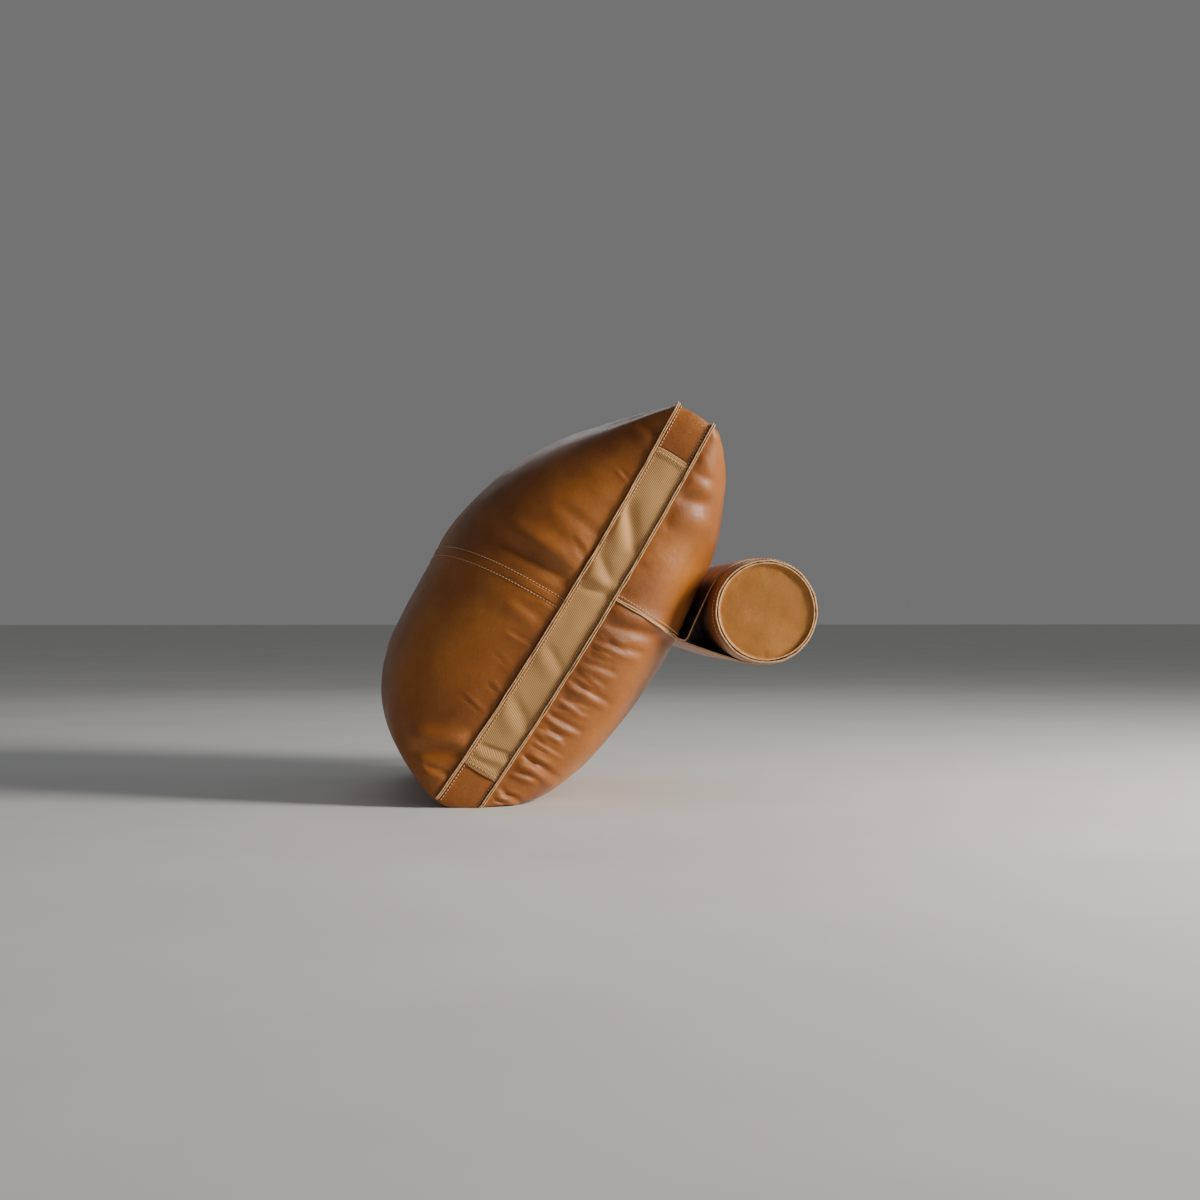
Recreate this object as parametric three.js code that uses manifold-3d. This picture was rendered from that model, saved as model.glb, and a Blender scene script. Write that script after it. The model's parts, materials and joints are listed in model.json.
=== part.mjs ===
// Plump leather floor cushion with a counterweight roll on a hinged sling.
// Millimetres, +Z up. X runs across the cushion and along the roll, Y from the front face to the back.
// The cushion stands on its bottom edge and leans back, with the roll swung up behind it.
import * as THREE from 'three';
import Module from 'manifold-3d';

// ---------- driving dimensions ----------
const SIDE = 600;                 // the cushion is square, measured along its own plane
const HALF = SIDE / 2;
const LEAN = THREE.MathUtils.degToRad(31.5);
const EDGE = 26;                  // half the width of the strip round the cushion
const FRONT_CROWN = 178;          // how far the front face rises above that strip
const BACK_CROWN = 110;
const BOW = 9;                    // how far the middle of the cushion bends towards the back
const CENTRE_HEIGHT = 247;        // height of the cushion's middle above what it stands on
const SIDE_PULL = 12;             // how far the sides draw in between the corners
const CORNER_ROUND = 0.02;        // share taken off the corners
const FLOOR_SOFTNESS = 6;         // height over which the flattened underside runs out
const FRONT_SAG = -32;            // how far the fill carries the front seam down
const BACK_LIFT = 6;              // how far the fill carries the back seam up

// face profiles: [flatness of the middle, steepness at the seams]
const FRONT_TOP = [2.1, 0.82];
const FRONT_BELLY = [2.83, 0.45];
const BACK_TOP = [2.6, 0.5];
const BACK_BELLY = [2.9, 0.73];
const ACROSS_PROFILE = [4.7, 0.43];

const GAP = 0.4;                  // clearance between neighbouring pieces
const LEATHER = 2;
const RAW_EDGE = 5;               // height of the raised raw seam edges
const TICKING = 0.8;
const CASE_INSET = 6;
const CORE_INSET = CASE_INSET + TICKING + 3 * GAP;
const CORNER_RETURN = 64;         // length of plain leather at each end of a side strip
const FRONT_SEAM = 0;             // seam heights as a share of HALF
const BACK_SEAM = 0.14;
const RAW_EDGE_START_FRONT = -0.95;
const RAW_EDGE_START_BACK = -0.85;

const ZIP_HALF_LENGTH = 200;
const ZIP_SLOT = 6;               // half the opening between the two webbing strips
const TAPE_HALF_WIDTH = 12;
const TAPE = 0.8;
const TAPE_INSET = LEATHER + 0.6;
const COIL_HALF_WIDTH = 2.6;
const COIL_PITCH = 5;
const TOOTH_TOP = 0.3;            // how far the coil's teeth lie below the webbing, in turn
const TOOTH_VALLEY = 0.9;
const STOP_PROUD = 0.6;           // height of the zip's end stops above the webbing
const STOP_OVERHANG = 1.2;        // how far each stop reaches past the coil's end
const STOP_LENGTH = 4.8;
const COIL_END_GAP = 6;           // coil to each end of the zip
const SLIDER_TOP = 180;           // slider position when the zip is closed

const ROLL_RADIUS = 68;
const ROLL_LENGTH = 556;
const ROLL_REACH = 104;           // roll axis to hinge
const ROLL_RISE = THREE.MathUtils.degToRad(23);
const ROLL_SHOULDER = 2.4;        // step from the tube to its raised end rim
const SHOULDER_START = 5;         // where the tube starts to narrow, before the end disc's plane
const SHOULDER_END = 1;
const LINING_START = 7;           // the same step on the tube's inside
const LINING_END = 4;
const WEIGHT_RADIUS = 11;
const WEIGHT_LENGTH = 480;
const SLING_HALF_WIDTH = 200;
const SLING_TIP = 2.6;            // radius of the sling's fold at the hinge
const SLING_ARC_STEPS = 34;
const SLING_TIP_STEPS = 6;
const HINGE_STANDOFF = 7;         // hinge line above the back seam
const TAIL_HALF = 2.2;            // half of the two sling tails laid together

const COLUMNS = 20;               // grid over each face
const ROWS = 20;
const ROW_MERGE = 0.03;           // grid rows closer than this to a seam give way to it
const SIDE_STEPS = 16;            // rows of the side webbing
const SEAM_STEPS = 12;            // rows of the raw edges and the zip tape along one side
const ROUND_STEPS = 40;

// ---------- finishes ----------
function finish(color, roughness, metalness) {
  return new THREE.MeshStandardMaterial({ color, roughness, metalness });
}
const LEATHER_FINISH = finish(0xb07a3e, 0.5, 0);
const RAW_FINISH = finish(0xd9ad80, 0.85, 0);
const WEBBING_FINISH = finish(0xb8905c, 0.95, 0);
const TICKING_FINISH = finish(0xe6dfd0, 0.95, 0);
const FILL_FINISH = finish(0xf2ead2, 1, 0);
const FOAM_FINISH = finish(0xece2b8, 1, 0);
const TAPE_FINISH = finish(0x5a3d22, 0.9, 0);
const ZIP_FINISH = finish(0xa98a50, 0.35, 1);
const STEEL_FINISH = finish(0x9a9da0, 0.4, 1);

// ---------- the cushion's surface ----------
const sinLean = Math.sin(LEAN);
const cosLean = Math.cos(LEAN);

const bowAt = (up) => BOW * (1 - (up / HALF) ** 2);

/** Cushion coordinates (across, up the cushion, towards the back) to the row frame. */
function place(across, up, level) {
  const out = level + bowAt(up);
  const back = up * sinLean + out * cosLean;
  const height = up * cosLean - out * sinLean + CENTRE_HEIGHT;
  return new THREE.Vector3(across, back, height);
}

/** Flattens whatever would pass the floor; deeper layers rest one layer higher. */
function restOnFloor(point, inset) {
  const height = point.z - inset;
  let rested = height;
  if (height < -FLOOR_SOFTNESS) rested = 0;
  else if (height < FLOOR_SOFTNESS) rested = (height + FLOOR_SOFTNESS) ** 2 / (4 * FLOOR_SOFTNESS);
  point.z = rested + inset;
  return point;
}

/** Outline of the cushion: a and b run from -1 to 1; inset moves inwards. */
function outline(a, b, inset) {
  const corner = 1 - CORNER_ROUND * (a * a * b * b) ** 10;
  const width = (HALF - SIDE_PULL * (1 - b ** 4)) * corner - inset;
  const height = (HALF - SIDE_PULL * (1 - a ** 4)) * corner - inset;
  return [a * width, b * height];
}

/** Rounded profile: 1 in the middle, 0 at share 1. */
const rounded = (share, [flatness, steepness]) => (1 - share ** flatness) ** steepness;

/** How far a face rises above the edge strip: nothing at the seams, most at the crown. */
function rise(side, a, up) {
  const share = Math.min(1, Math.abs(up) / HALF);
  const [top, belly] = side < 0 ? [FRONT_TOP, FRONT_BELLY] : [BACK_TOP, BACK_BELLY];
  const sag = up < 0 ? Math.min(1, 2 * share) : 0;
  const profile = top.map((value, i) => value + (belly[i] - value) * sag);
  const crown = side < 0 ? FRONT_CROWN : BACK_CROWN;
  return crown * rounded(share, profile) * rounded(Math.abs(a), ACROSS_PROFILE);
}

/** Point on a face. side is -1 for the front and 1 for the back. */
function facePoint(side, a, b, inset) {
  const drift = (side < 0 ? FRONT_SAG : BACK_LIFT) * (1 - a * a) * (1 - b * b);
  const [across, up] = outline(a, b, inset);
  const out = EDGE - inset + rise(side, a, b * HALF + drift);
  return restOnFloor(place(across, up + drift, side * out), inset);
}

/** Point on the knife-edged inner cushion, which meets in the middle plane at its rim. */
function innerPoint(side, a, b, inset) {
  const drift = (side < 0 ? FRONT_SAG : BACK_LIFT) * (1 - a * a) * (1 - b * b);
  const [across, up] = outline(a, b, inset);
  const fade = (1 - a ** 12) * (1 - b ** 12);
  const lift = (EDGE - CORE_INSET + rise(side, a, b * HALF + drift)) * fade;
  const onRim = Math.max(Math.abs(a), Math.abs(b)) === 1;
  const out = onRim ? GAP / 2 : GAP + CORE_INSET - inset + lift;
  return restOnFloor(place(across, up + drift, side * out), inset);
}

/** Point on the strip round the edge. */
const stripPoint = (a, b, out, inset) => restOnFloor(place(...outline(a, b, inset), out), inset);

// ---------- grids and solids ----------
/** Values from low to high, packed closer towards the ends that touch -1 or 1. */
function spread(low, high, steps) {
  const from = Math.asin(low);
  const to = Math.asin(high);
  return Array.from({ length: steps + 1 }, (_, i) => Math.sin(from + ((to - from) * i) / steps));
}

function even(low, high, steps) {
  return Array.from({ length: steps + 1 }, (_, i) => low + ((high - low) * i) / steps);
}

const columns = spread(-1, 1, COLUMNS);
const gridOf = (rows, cols, at) => rows.map((r) => cols.map((c) => at(r, c)));

function meshOf(name, points, faces, material) {
  const geometry = new THREE.BufferGeometry();
  const coordinates = points.flatMap((p) => [p.x, p.y, p.z]);
  geometry.setAttribute('position', new THREE.Float32BufferAttribute(coordinates, 3));
  geometry.setIndex(faces);
  geometry.computeVertexNormals();
  const mesh = new THREE.Mesh(geometry, material);
  mesh.name = name;
  return mesh;
}

/** Closed solid between two grids of the same size; wrapped joins the last row to the first. */
function solidBetween(name, outer, inner, material, wrapped = false) {
  const rows = outer.length;
  const cols = outer[0].length;
  const points = [...outer.flat(), ...inner.flat()];
  const at = (layer, r, c) => layer * rows * cols + (r % rows) * cols + c;
  const faces = [];
  const quad = (p, q, r, s) => faces.push(p, q, r, p, r, s);
  const lastRow = wrapped ? rows : rows - 1;
  for (let r = 0; r < lastRow; r += 1) {
    for (let c = 0; c < cols - 1; c += 1) {
      quad(at(0, r, c), at(0, r, c + 1), at(0, r + 1, c + 1), at(0, r + 1, c));
      quad(at(1, r, c), at(1, r + 1, c), at(1, r + 1, c + 1), at(1, r, c + 1));
    }
    quad(at(0, r, 0), at(0, r + 1, 0), at(1, r + 1, 0), at(1, r, 0));
    quad(at(0, r + 1, cols - 1), at(0, r, cols - 1), at(1, r, cols - 1), at(1, r + 1, cols - 1));
  }
  for (let c = 0; c < cols - 1 && !wrapped; c += 1) {
    quad(at(0, 0, c + 1), at(0, 0, c), at(1, 0, c), at(1, 0, c + 1));
    quad(at(0, rows - 1, c), at(0, rows - 1, c + 1), at(1, rows - 1, c + 1), at(1, rows - 1, c));
  }
  let volume = 0;
  for (let i = 0; i < faces.length; i += 3) {
    const [p, q, r] = faces.slice(i, i + 3).map((k) => points[k]);
    volume += p.dot(new THREE.Vector3().crossVectors(q, r));
  }
  if (volume < 0) faces.reverse();
  return meshOf(name, points, faces, material);
}

// ---------- cushion cover ----------
const seamGap = GAP / SIDE;
const faceRows = spread(-1, 1, ROWS);
const rowsBelow = (seam) => [...faceRows.filter((b) => b < seam - ROW_MERGE), seam];
const rowsAbove = (seam) => [seam, ...faceRows.filter((b) => b > seam + ROW_MERGE)];

function facePanel(name, side, rows) {
  const skin = (inset) => gridOf(rows, columns, (b, a) => facePoint(side, a, b, inset));
  return solidBetween(name, skin(0), skin(LEATHER), LEATHER_FINISH);
}

function facePanels() {
  return [
    facePanel('front_panel_upper', -1, rowsAbove(FRONT_SEAM + seamGap)),
    facePanel('front_panel_lower', -1, rowsBelow(FRONT_SEAM - seamGap)),
    facePanel('back_panel_upper', 1, rowsAbove(BACK_SEAM + seamGap)),
    facePanel('back_panel_lower', 1, rowsBelow(BACK_SEAM - seamGap)),
  ];
}

/** Strip round part of the edge, along path; low and high give its two edges at each height. */
function edgeStrip(name, path, low, high, steps, material) {
  // the inner face keeps the mitre of the face panels where the strip meets them
  const mitre = (out) => out - Math.sign(out) * (Math.abs(out) > EDGE - 1 ? LEATHER : 0);
  const outs = ([a, b]) => even(low(b), high(b), steps).map((out) => [a, b, out]);
  const outer = path.map(outs).map((row) => row.map(([a, b, out]) => stripPoint(a, b, out, 0)));
  const inner = path.map(outs).map((row) => row.map(([a, b, out]) => stripPoint(a, b, mitre(out), LEATHER)));
  return solidBetween(name, outer, inner, material);
}

const WEBBING_END = 1 - CORNER_RETURN / HALF;
const frontEdge = () => GAP - EDGE;
const backEdge = () => EDGE - GAP;
/** Keeps the zip straight although the side it is sewn into bows. */
const zipShift = (b) => bowAt(SLIDER_TOP) - bowAt(b * HALF);

/** Path along one end of the cushion (end is 1 for the top) and back along both sides to start. */
function endPath(end, start) {
  const climb = rowsAbove(start);
  const up = climb.map((b) => [1, end * b]);
  const over = columns.slice(1, -1).reverse().map((a) => [a, end]);
  const down = climb.slice().reverse().map((b) => [-1, end * b]);
  return [...up, ...over, ...down];
}

function edgeStrips() {
  const webbingRows = even(-WEBBING_END + seamGap * 2, WEBBING_END - seamGap * 2, SIDE_STEPS);
  const right = webbingRows.map((b) => [1, b]);
  const left = webbingRows.map((b) => [-1, b]);
  return [
    edgeStrip('gusset_top', endPath(1, WEBBING_END), frontEdge, backEdge, 2, LEATHER_FINISH),
    edgeStrip('gusset_bottom', endPath(-1, WEBBING_END), frontEdge, backEdge, 4, LEATHER_FINISH),
    edgeStrip('side_webbing_right', right, frontEdge, backEdge, 2, WEBBING_FINISH),
    edgeStrip('side_webbing_left_front', left, frontEdge, (b) => zipShift(b) - ZIP_SLOT, 1, WEBBING_FINISH),
    edgeStrip('side_webbing_left_back', left, (b) => zipShift(b) + ZIP_SLOT, backEdge, 1, WEBBING_FINISH),
  ];
}

/** Raised raw leather edges along a face seam: up one side, over the top and down the other. */
function rawEdge(name, side, start) {
  const path = [
    ...even(start, WEBBING_END, SEAM_STEPS).map((b) => [1, b]),
    ...endPath(1, WEBBING_END).slice(1, -1),
    ...even(WEBBING_END, start, SEAM_STEPS).map((b) => [-1, b]),
  ];
  const ring = (inset) => gridOf(path, [-TAIL_HALF, TAIL_HALF], ([a, b], offset) => {
    return place(...outline(a, b, -inset), side * EDGE + offset);
  });
  return solidBetween(name, ring(RAW_EDGE), ring(GAP), RAW_FINISH);
}

// ---------- inner cushion ----------
const rowsWhole = (seam) => [...rowsBelow(seam), ...rowsAbove(seam).slice(1)];

function innerCushion() {
  const caseHalf = (name, side, seam) => {
    const skin = (inset) => gridOf(rowsWhole(seam), columns, (b, a) => innerPoint(side, a, b, inset));
    return solidBetween(name, skin(CASE_INSET), skin(CASE_INSET + TICKING), TICKING_FINISH);
  };
  const coreFace = (side, seam) => {
    return gridOf(rowsWhole(seam), columns, (b, a) => innerPoint(side, a, b, CORE_INSET));
  };
  return [
    caseHalf('inner_case_front', -1, FRONT_SEAM),
    caseHalf('inner_case_back', 1, BACK_SEAM),
    solidBetween('fill_core', coreFace(1, BACK_SEAM), coreFace(-1, FRONT_SEAM), FILL_FINISH),
  ];
}

// ---------- boolean helpers ----------
const wasm = await Module();
wasm.setup();

/** Solid from a closed geometry, with its coincident vertices merged. */
function toManifold(geometry) {
  const position = geometry.attributes.position;
  const seen = new Map();
  const vertices = [];
  const map = [];
  for (let i = 0; i < position.count; i += 1) {
    const corner = new THREE.Vector3().fromBufferAttribute(position, i).toArray();
    const xyz = corner.map((v) => Math.round(v * 1e4) / 1e4);
    const key = xyz.join();
    if (!seen.has(key)) {
      seen.set(key, vertices.length / 3);
      vertices.push(...xyz);
    }
    map.push(seen.get(key));
  }
  const order = geometry.index ? Array.from(geometry.index.array) : map.map((_, i) => i);
  const triangles = [];
  for (let i = 0; i < order.length; i += 3) {
    const [p, q, r] = order.slice(i, i + 3).map((k) => map[k]);
    if (p !== q && q !== r && r !== p) triangles.push(p, q, r);
  }
  const vertProperties = new Float32Array(vertices);
  const triVerts = new Uint32Array(triangles);
  return new wasm.Manifold(new wasm.Mesh({ numProp: 3, vertProperties, triVerts }));
}

function fromManifold(name, body, material) {
  const { vertProperties, triVerts } = body.getMesh();
  const points = [];
  for (let i = 0; i < vertProperties.length; i += 3) {
    points.push(new THREE.Vector3(...vertProperties.slice(i, i + 3)));
  }
  return meshOf(name, points, Array.from(triVerts), material);
}

// ---------- zip in the left side ----------
function zipStrip(name, low, high, rows, outerInset, innerInset, material) {
  const layer = (insetOf) => gridOf(rows.map((b, i) => [b, i]), [low, high], ([b, i], out) => {
    return stripPoint(-1, b, zipShift(b) + out, insetOf(i));
  });
  return solidBetween(name, layer(outerInset), layer(innerInset), material);
}

/** Frame of the zip at a height up the cushion: x to the front, y up the cushion, z outwards. */
function zipFrame(up, lift) {
  const origin = place(-HALF + SIDE_PULL * (1 - (up / HALF) ** 4) - lift, up, 0);
  const forward = new THREE.Vector3(0, -cosLean, sinLean);
  const upward = new THREE.Vector3(0, sinLean, cosLean);
  return new THREE.Matrix4().makeBasis(forward, upward, new THREE.Vector3(-1, 0, 0)).setPosition(origin);
}

const PIN_RADIUS = 0.9;
const PIN_LENGTH = 6.4;
const PIN_HEIGHT = 4.6;           // bridge pin above the slider's underside
const SLIDER_LIFT = 0.4;
const SLIDER_THICKNESS = 2.4;
const SLIDER_NOSE = 9;            // slider's length above its pin
const SLIDER_TAIL = 8;            // and below it
const SLIDER_NOSE_HALF = 5.4;
const SLIDER_TAIL_HALF = 3.4;
const SLIDER_CORNER = 3;
const LUG = [1, 3.6, 4.4];        // the two ears that hold the pin
const LUG_OFFSET = 2.9;
const LUG_DROP = 0.8;             // middle of an ear below the pin
const PULL_THICKNESS = 1.4;
const PULL_LENGTH = 30;
const PULL_HALF = 4;
const PULL_NECK_HALF = 2;
const PULL_NECK = [-1.2, -4, -10]; // heights where the neck starts, and where it begins and ends widening
const BARREL_WALL = 1.3;
const BARREL_LENGTH = 4;
const BARREL_PLAY = 0.3;
const PIN_SIDES = 12;
const BARREL_SIDES = 16;

function crossPin(radius, length, sides) {
  return new THREE.CylinderGeometry(radius, radius, length, sides).rotateZ(Math.PI / 2);
}

function zipSlider() {
  const shape = new THREE.Shape();
  const shoulder = SLIDER_NOSE - SLIDER_CORNER;
  const noseFlat = SLIDER_NOSE_HALF - SLIDER_CORNER;
  shape.moveTo(-SLIDER_TAIL_HALF, -SLIDER_TAIL);
  shape.lineTo(SLIDER_TAIL_HALF, -SLIDER_TAIL);
  shape.lineTo(SLIDER_NOSE_HALF, shoulder);
  shape.quadraticCurveTo(SLIDER_NOSE_HALF, SLIDER_NOSE, noseFlat, SLIDER_NOSE);
  shape.lineTo(-noseFlat, SLIDER_NOSE);
  shape.quadraticCurveTo(-SLIDER_NOSE_HALF, SLIDER_NOSE, -SLIDER_NOSE_HALF, shoulder);
  shape.closePath();
  const extrusion = { depth: SLIDER_THICKNESS, bevelEnabled: false, curveSegments: 6 };
  const plate = new THREE.ExtrudeGeometry(shape, extrusion);
  const lug = (x) => toManifold(new THREE.BoxGeometry(...LUG).translate(x, 0, PIN_HEIGHT - LUG_DROP));
  const pin = toManifold(crossPin(PIN_RADIUS, PIN_LENGTH, PIN_SIDES).translate(0, 0, PIN_HEIGHT));
  const body = toManifold(plate).add(lug(-LUG_OFFSET)).add(lug(LUG_OFFSET)).add(pin);
  const mesh = fromManifold('zip_slider', body, ZIP_FINISH);
  mesh.geometry.applyMatrix4(zipFrame(SLIDER_TOP, SLIDER_LIFT));
  return mesh;
}

function zipPull() {
  const [neckTop, neckEnd, tagStart] = PULL_NECK;
  const tip = -PULL_LENGTH + PULL_HALF;
  const shape = new THREE.Shape();
  shape.moveTo(PULL_NECK_HALF, neckTop);
  shape.lineTo(PULL_NECK_HALF, neckEnd);
  shape.lineTo(PULL_HALF, tagStart);
  shape.lineTo(PULL_HALF, tip);
  shape.absarc(0, tip, PULL_HALF, 0, -Math.PI, true);
  shape.lineTo(-PULL_HALF, tagStart);
  shape.lineTo(-PULL_NECK_HALF, neckEnd);
  shape.lineTo(-PULL_NECK_HALF, neckTop);
  shape.closePath();
  const extrusion = { depth: PULL_THICKNESS, bevelEnabled: false, curveSegments: 8 };
  const tag = new THREE.ExtrudeGeometry(shape, extrusion);
  const body = toManifold(tag.translate(0, 0, -PULL_THICKNESS / 2))
    .add(toManifold(crossPin(PIN_RADIUS + BARREL_WALL, BARREL_LENGTH, BARREL_SIDES)))
    .subtract(toManifold(crossPin(PIN_RADIUS + BARREL_PLAY, PIN_LENGTH, BARREL_SIDES)))
    .translate([0, 0, PIN_HEIGHT]);
  const mesh = fromManifold('zip_pull', body, ZIP_FINISH);
  mesh.geometry.applyMatrix4(zipFrame(SLIDER_TOP, SLIDER_LIFT));
  return mesh;
}

function zip() {
  const coilEnd = ZIP_HALF_LENGTH - COIL_END_GAP;
  const tapeRows = even(-WEBBING_END, WEBBING_END, SEAM_STEPS);
  const coilRows = even(-coilEnd / HALF, coilEnd / HALF, Math.round((2 * ZIP_HALF_LENGTH) / COIL_PITCH));
  const tapeTop = () => TAPE_INSET;
  const tapeUnder = () => TAPE_INSET + TAPE;
  const tooth = (i) => (i % 2 ? TOOTH_TOP : TOOTH_VALLEY);
  const coilUnder = () => TAPE_INSET - GAP;
  const coilStrip = (name, rows, top) => {
    return zipStrip(name, -COIL_HALF_WIDTH, COIL_HALF_WIDTH, rows, top, coilUnder, ZIP_FINISH);
  };
  const stop = (name, end) => {
    const outerEnd = end * (ZIP_HALF_LENGTH + STOP_OVERHANG);
    const rows = [outerEnd - end * STOP_LENGTH, outerEnd].map((up) => up / HALF);
    return coilStrip(name, rows, () => -STOP_PROUD);
  };
  return [
    zipStrip('zip_tape_front', -TAPE_HALF_WIDTH, -GAP, tapeRows, tapeTop, tapeUnder, TAPE_FINISH),
    zipStrip('zip_tape_back', GAP, TAPE_HALF_WIDTH, tapeRows, tapeTop, tapeUnder, TAPE_FINISH),
    coilStrip('zip_coil', coilRows, tooth),
    stop('zip_stop_top', 1),
    stop('zip_stop_bottom', -1),
    zipSlider(),
    zipPull(),
  ];
}

// ---------- counterweight roll and its sling ----------
const seamPoint = facePoint(1, 0, BACK_SEAM, 0);
const backward = new THREE.Vector3(0, cosLean, -sinLean);
const hinge = seamPoint.clone().addScaledVector(backward, HINGE_STANDOFF);
const rollDirection = new THREE.Vector3(0, Math.cos(ROLL_RISE), Math.sin(ROLL_RISE));
const rollCentre = hinge.clone().addScaledVector(rollDirection, ROLL_REACH);

/** Turns a closed profile of [distance along the roll, radius] points round the roll's axis. */
function turned(name, profile, material) {
  const points = profile.map(([along, radius]) => new THREE.Vector2(radius, along));
  const geometry = new THREE.LatheGeometry(points, ROUND_STEPS).rotateZ(-Math.PI / 2);
  const mesh = fromManifold(name, toManifold(geometry), material);
  mesh.geometry.translate(rollCentre.x, rollCentre.y, rollCentre.z);
  return mesh;
}

const rollEnd = ROLL_LENGTH / 2;
const endFace = rollEnd - RAW_EDGE;            // plane of the flat end discs
const rimRadius = ROLL_RADIUS - ROLL_SHOULDER;
const discRadius = rimRadius - LEATHER / 2 - GAP;

function rollCover() {
  const half = [
    [0, ROLL_RADIUS],
    [endFace - SHOULDER_START, ROLL_RADIUS],
    [endFace - SHOULDER_END, rimRadius + LEATHER / 2],
    [rollEnd, rimRadius + LEATHER / 2],
    [rollEnd, rimRadius - LEATHER / 2],
    [endFace - LINING_END, rimRadius - LEATHER / 2],
    [endFace - LINING_START, ROLL_RADIUS - LEATHER],
    [0, ROLL_RADIUS - LEATHER],
  ];
  const mirrored = half.slice(1, -1).reverse().map(([along, radius]) => [-along, radius]);
  return turned('roll_cover', [...half, ...mirrored, half[0]], LEATHER_FINISH);
}

function rollEndDisc(name, side) {
  const profile = [
    [endFace - LEATHER, 0],
    [endFace - LEATHER, discRadius],
    [rollEnd, discRadius],
    [rollEnd, discRadius - LEATHER],
    [endFace, discRadius - LEATHER],
    [endFace, 0],
  ];
  const facing = profile.map(([along, radius]) => [side * along, radius]);
  if (side < 0) facing.reverse();
  return turned(name, facing, LEATHER_FINISH);
}

function rollInside() {
  const foamEnd = endFace - LEATHER - GAP * 2;
  const foamRadius = rimRadius - LEATHER / 2 - GAP;
  const bore = WEIGHT_RADIUS + GAP;
  const weightEnd = WEIGHT_LENGTH / 2;
  const foam = [
    [-foamEnd, bore],
    [-foamEnd, foamRadius],
    [foamEnd, foamRadius],
    [foamEnd, bore],
    [-foamEnd, bore],
  ];
  const bar = [[-weightEnd, 0], [-weightEnd, WEIGHT_RADIUS], [weightEnd, WEIGHT_RADIUS], [weightEnd, 0]];
  return [turned('roll_foam', foam, FOAM_FINISH), turned('roll_weight_bar', bar, STEEL_FINISH)];
}

/** Directions round the sling's cross-section, each with the centre of the arc it belongs to. */
function slingSection() {
  const toTip = Math.atan2(hinge.z - rollCentre.z, hinge.y - rollCentre.y);
  const outerRadius = ROLL_RADIUS + GAP * 2 + LEATHER;
  const spanTip = Math.acos((outerRadius - SLING_TIP) / ROLL_REACH);
  const arc = (centre, radius, from, to, steps) => {
    return even(from, to, steps).map((angle) => ({ centre, radius, angle }));
  };
  return [
    ...arc(rollCentre, outerRadius, toTip + spanTip, toTip + 2 * Math.PI - spanTip, SLING_ARC_STEPS),
    ...arc(hinge, SLING_TIP, toTip - spanTip, toTip + spanTip, SLING_TIP_STEPS),
  ];
}

function slingWrap() {
  const ends = [-SLING_HALF_WIDTH, SLING_HALF_WIDTH];
  const skin = (inset) => gridOf(slingSection(), ends, ({ centre, radius, angle }, x) => {
    const reach = radius - inset;
    return new THREE.Vector3(x, centre.y + reach * Math.cos(angle), centre.z + reach * Math.sin(angle));
  });
  return solidBetween('sling_wrap', skin(0), skin(LEATHER), LEATHER_FINISH, true);
}

/** The sling's two tails, sewn together into the back seam and standing up to the hinge line. */
function slingTails() {
  const width = outline(1, BACK_SEAM, 0)[0];
  const acrossSteps = even(-SLING_HALF_WIDTH, SLING_HALF_WIDTH, 12);
  const lift = SLING_TIP + GAP;
  const upward = new THREE.Vector3(0, sinLean, cosLean);
  const layer = (side) => acrossSteps.map((x) => {
    const foot = facePoint(1, x / width, BACK_SEAM, 0).addScaledVector(backward, GAP * 3);
    const head = hinge.clone().addScaledVector(backward, -lift).setX(x);
    return [foot, head].map((point) => point.addScaledVector(upward, side * TAIL_HALF));
  });
  return solidBetween('sling_tails', layer(1), layer(-1), LEATHER_FINISH);
}

// ---------- assembly ----------
const cushion = new THREE.Group();
cushion.name = 'cushion_with_roll';
cushion.add(
  ...facePanels(),
  ...edgeStrips(),
  rawEdge('raw_edge_front', -1, RAW_EDGE_START_FRONT),
  rawEdge('raw_edge_back', 1, RAW_EDGE_START_BACK),
  ...innerCushion(),
  ...zip(),
  slingTails(),
  slingWrap(),
  rollCover(),
  rollEndDisc('roll_end_right', 1),
  rollEndDisc('roll_end_left', -1),
  ...rollInside(),
);

// put the row origin under the middle of the whole object
const box = new THREE.Box3().setFromObject(cushion);
const middle = box.getCenter(new THREE.Vector3());
for (const mesh of cushion.children) mesh.geometry.translate(-middle.x, -middle.y, -box.min.z);
const shifted = (point) => point.clone().sub(new THREE.Vector3(middle.x, middle.y, box.min.z)).toArray();
const sliderPin = new THREE.Vector3(0, 0, PIN_HEIGHT).applyMatrix4(zipFrame(SLIDER_TOP, SLIDER_LIFT));
cushion.userData.joints = {
  rollSwing: shifted(hinge),
  rollCentre: shifted(rollCentre),
  zipPull: shifted(sliderPin),
  zipSlideAxis: [0, sinLean, cosLean],
  zipPullAxis: [0, cosLean, -sinLean],
};

export default cushion;
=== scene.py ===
"""Looks for the leather cushion with its counterweight roll. Metres, the CAD's own frame."""

import json
import math

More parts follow.
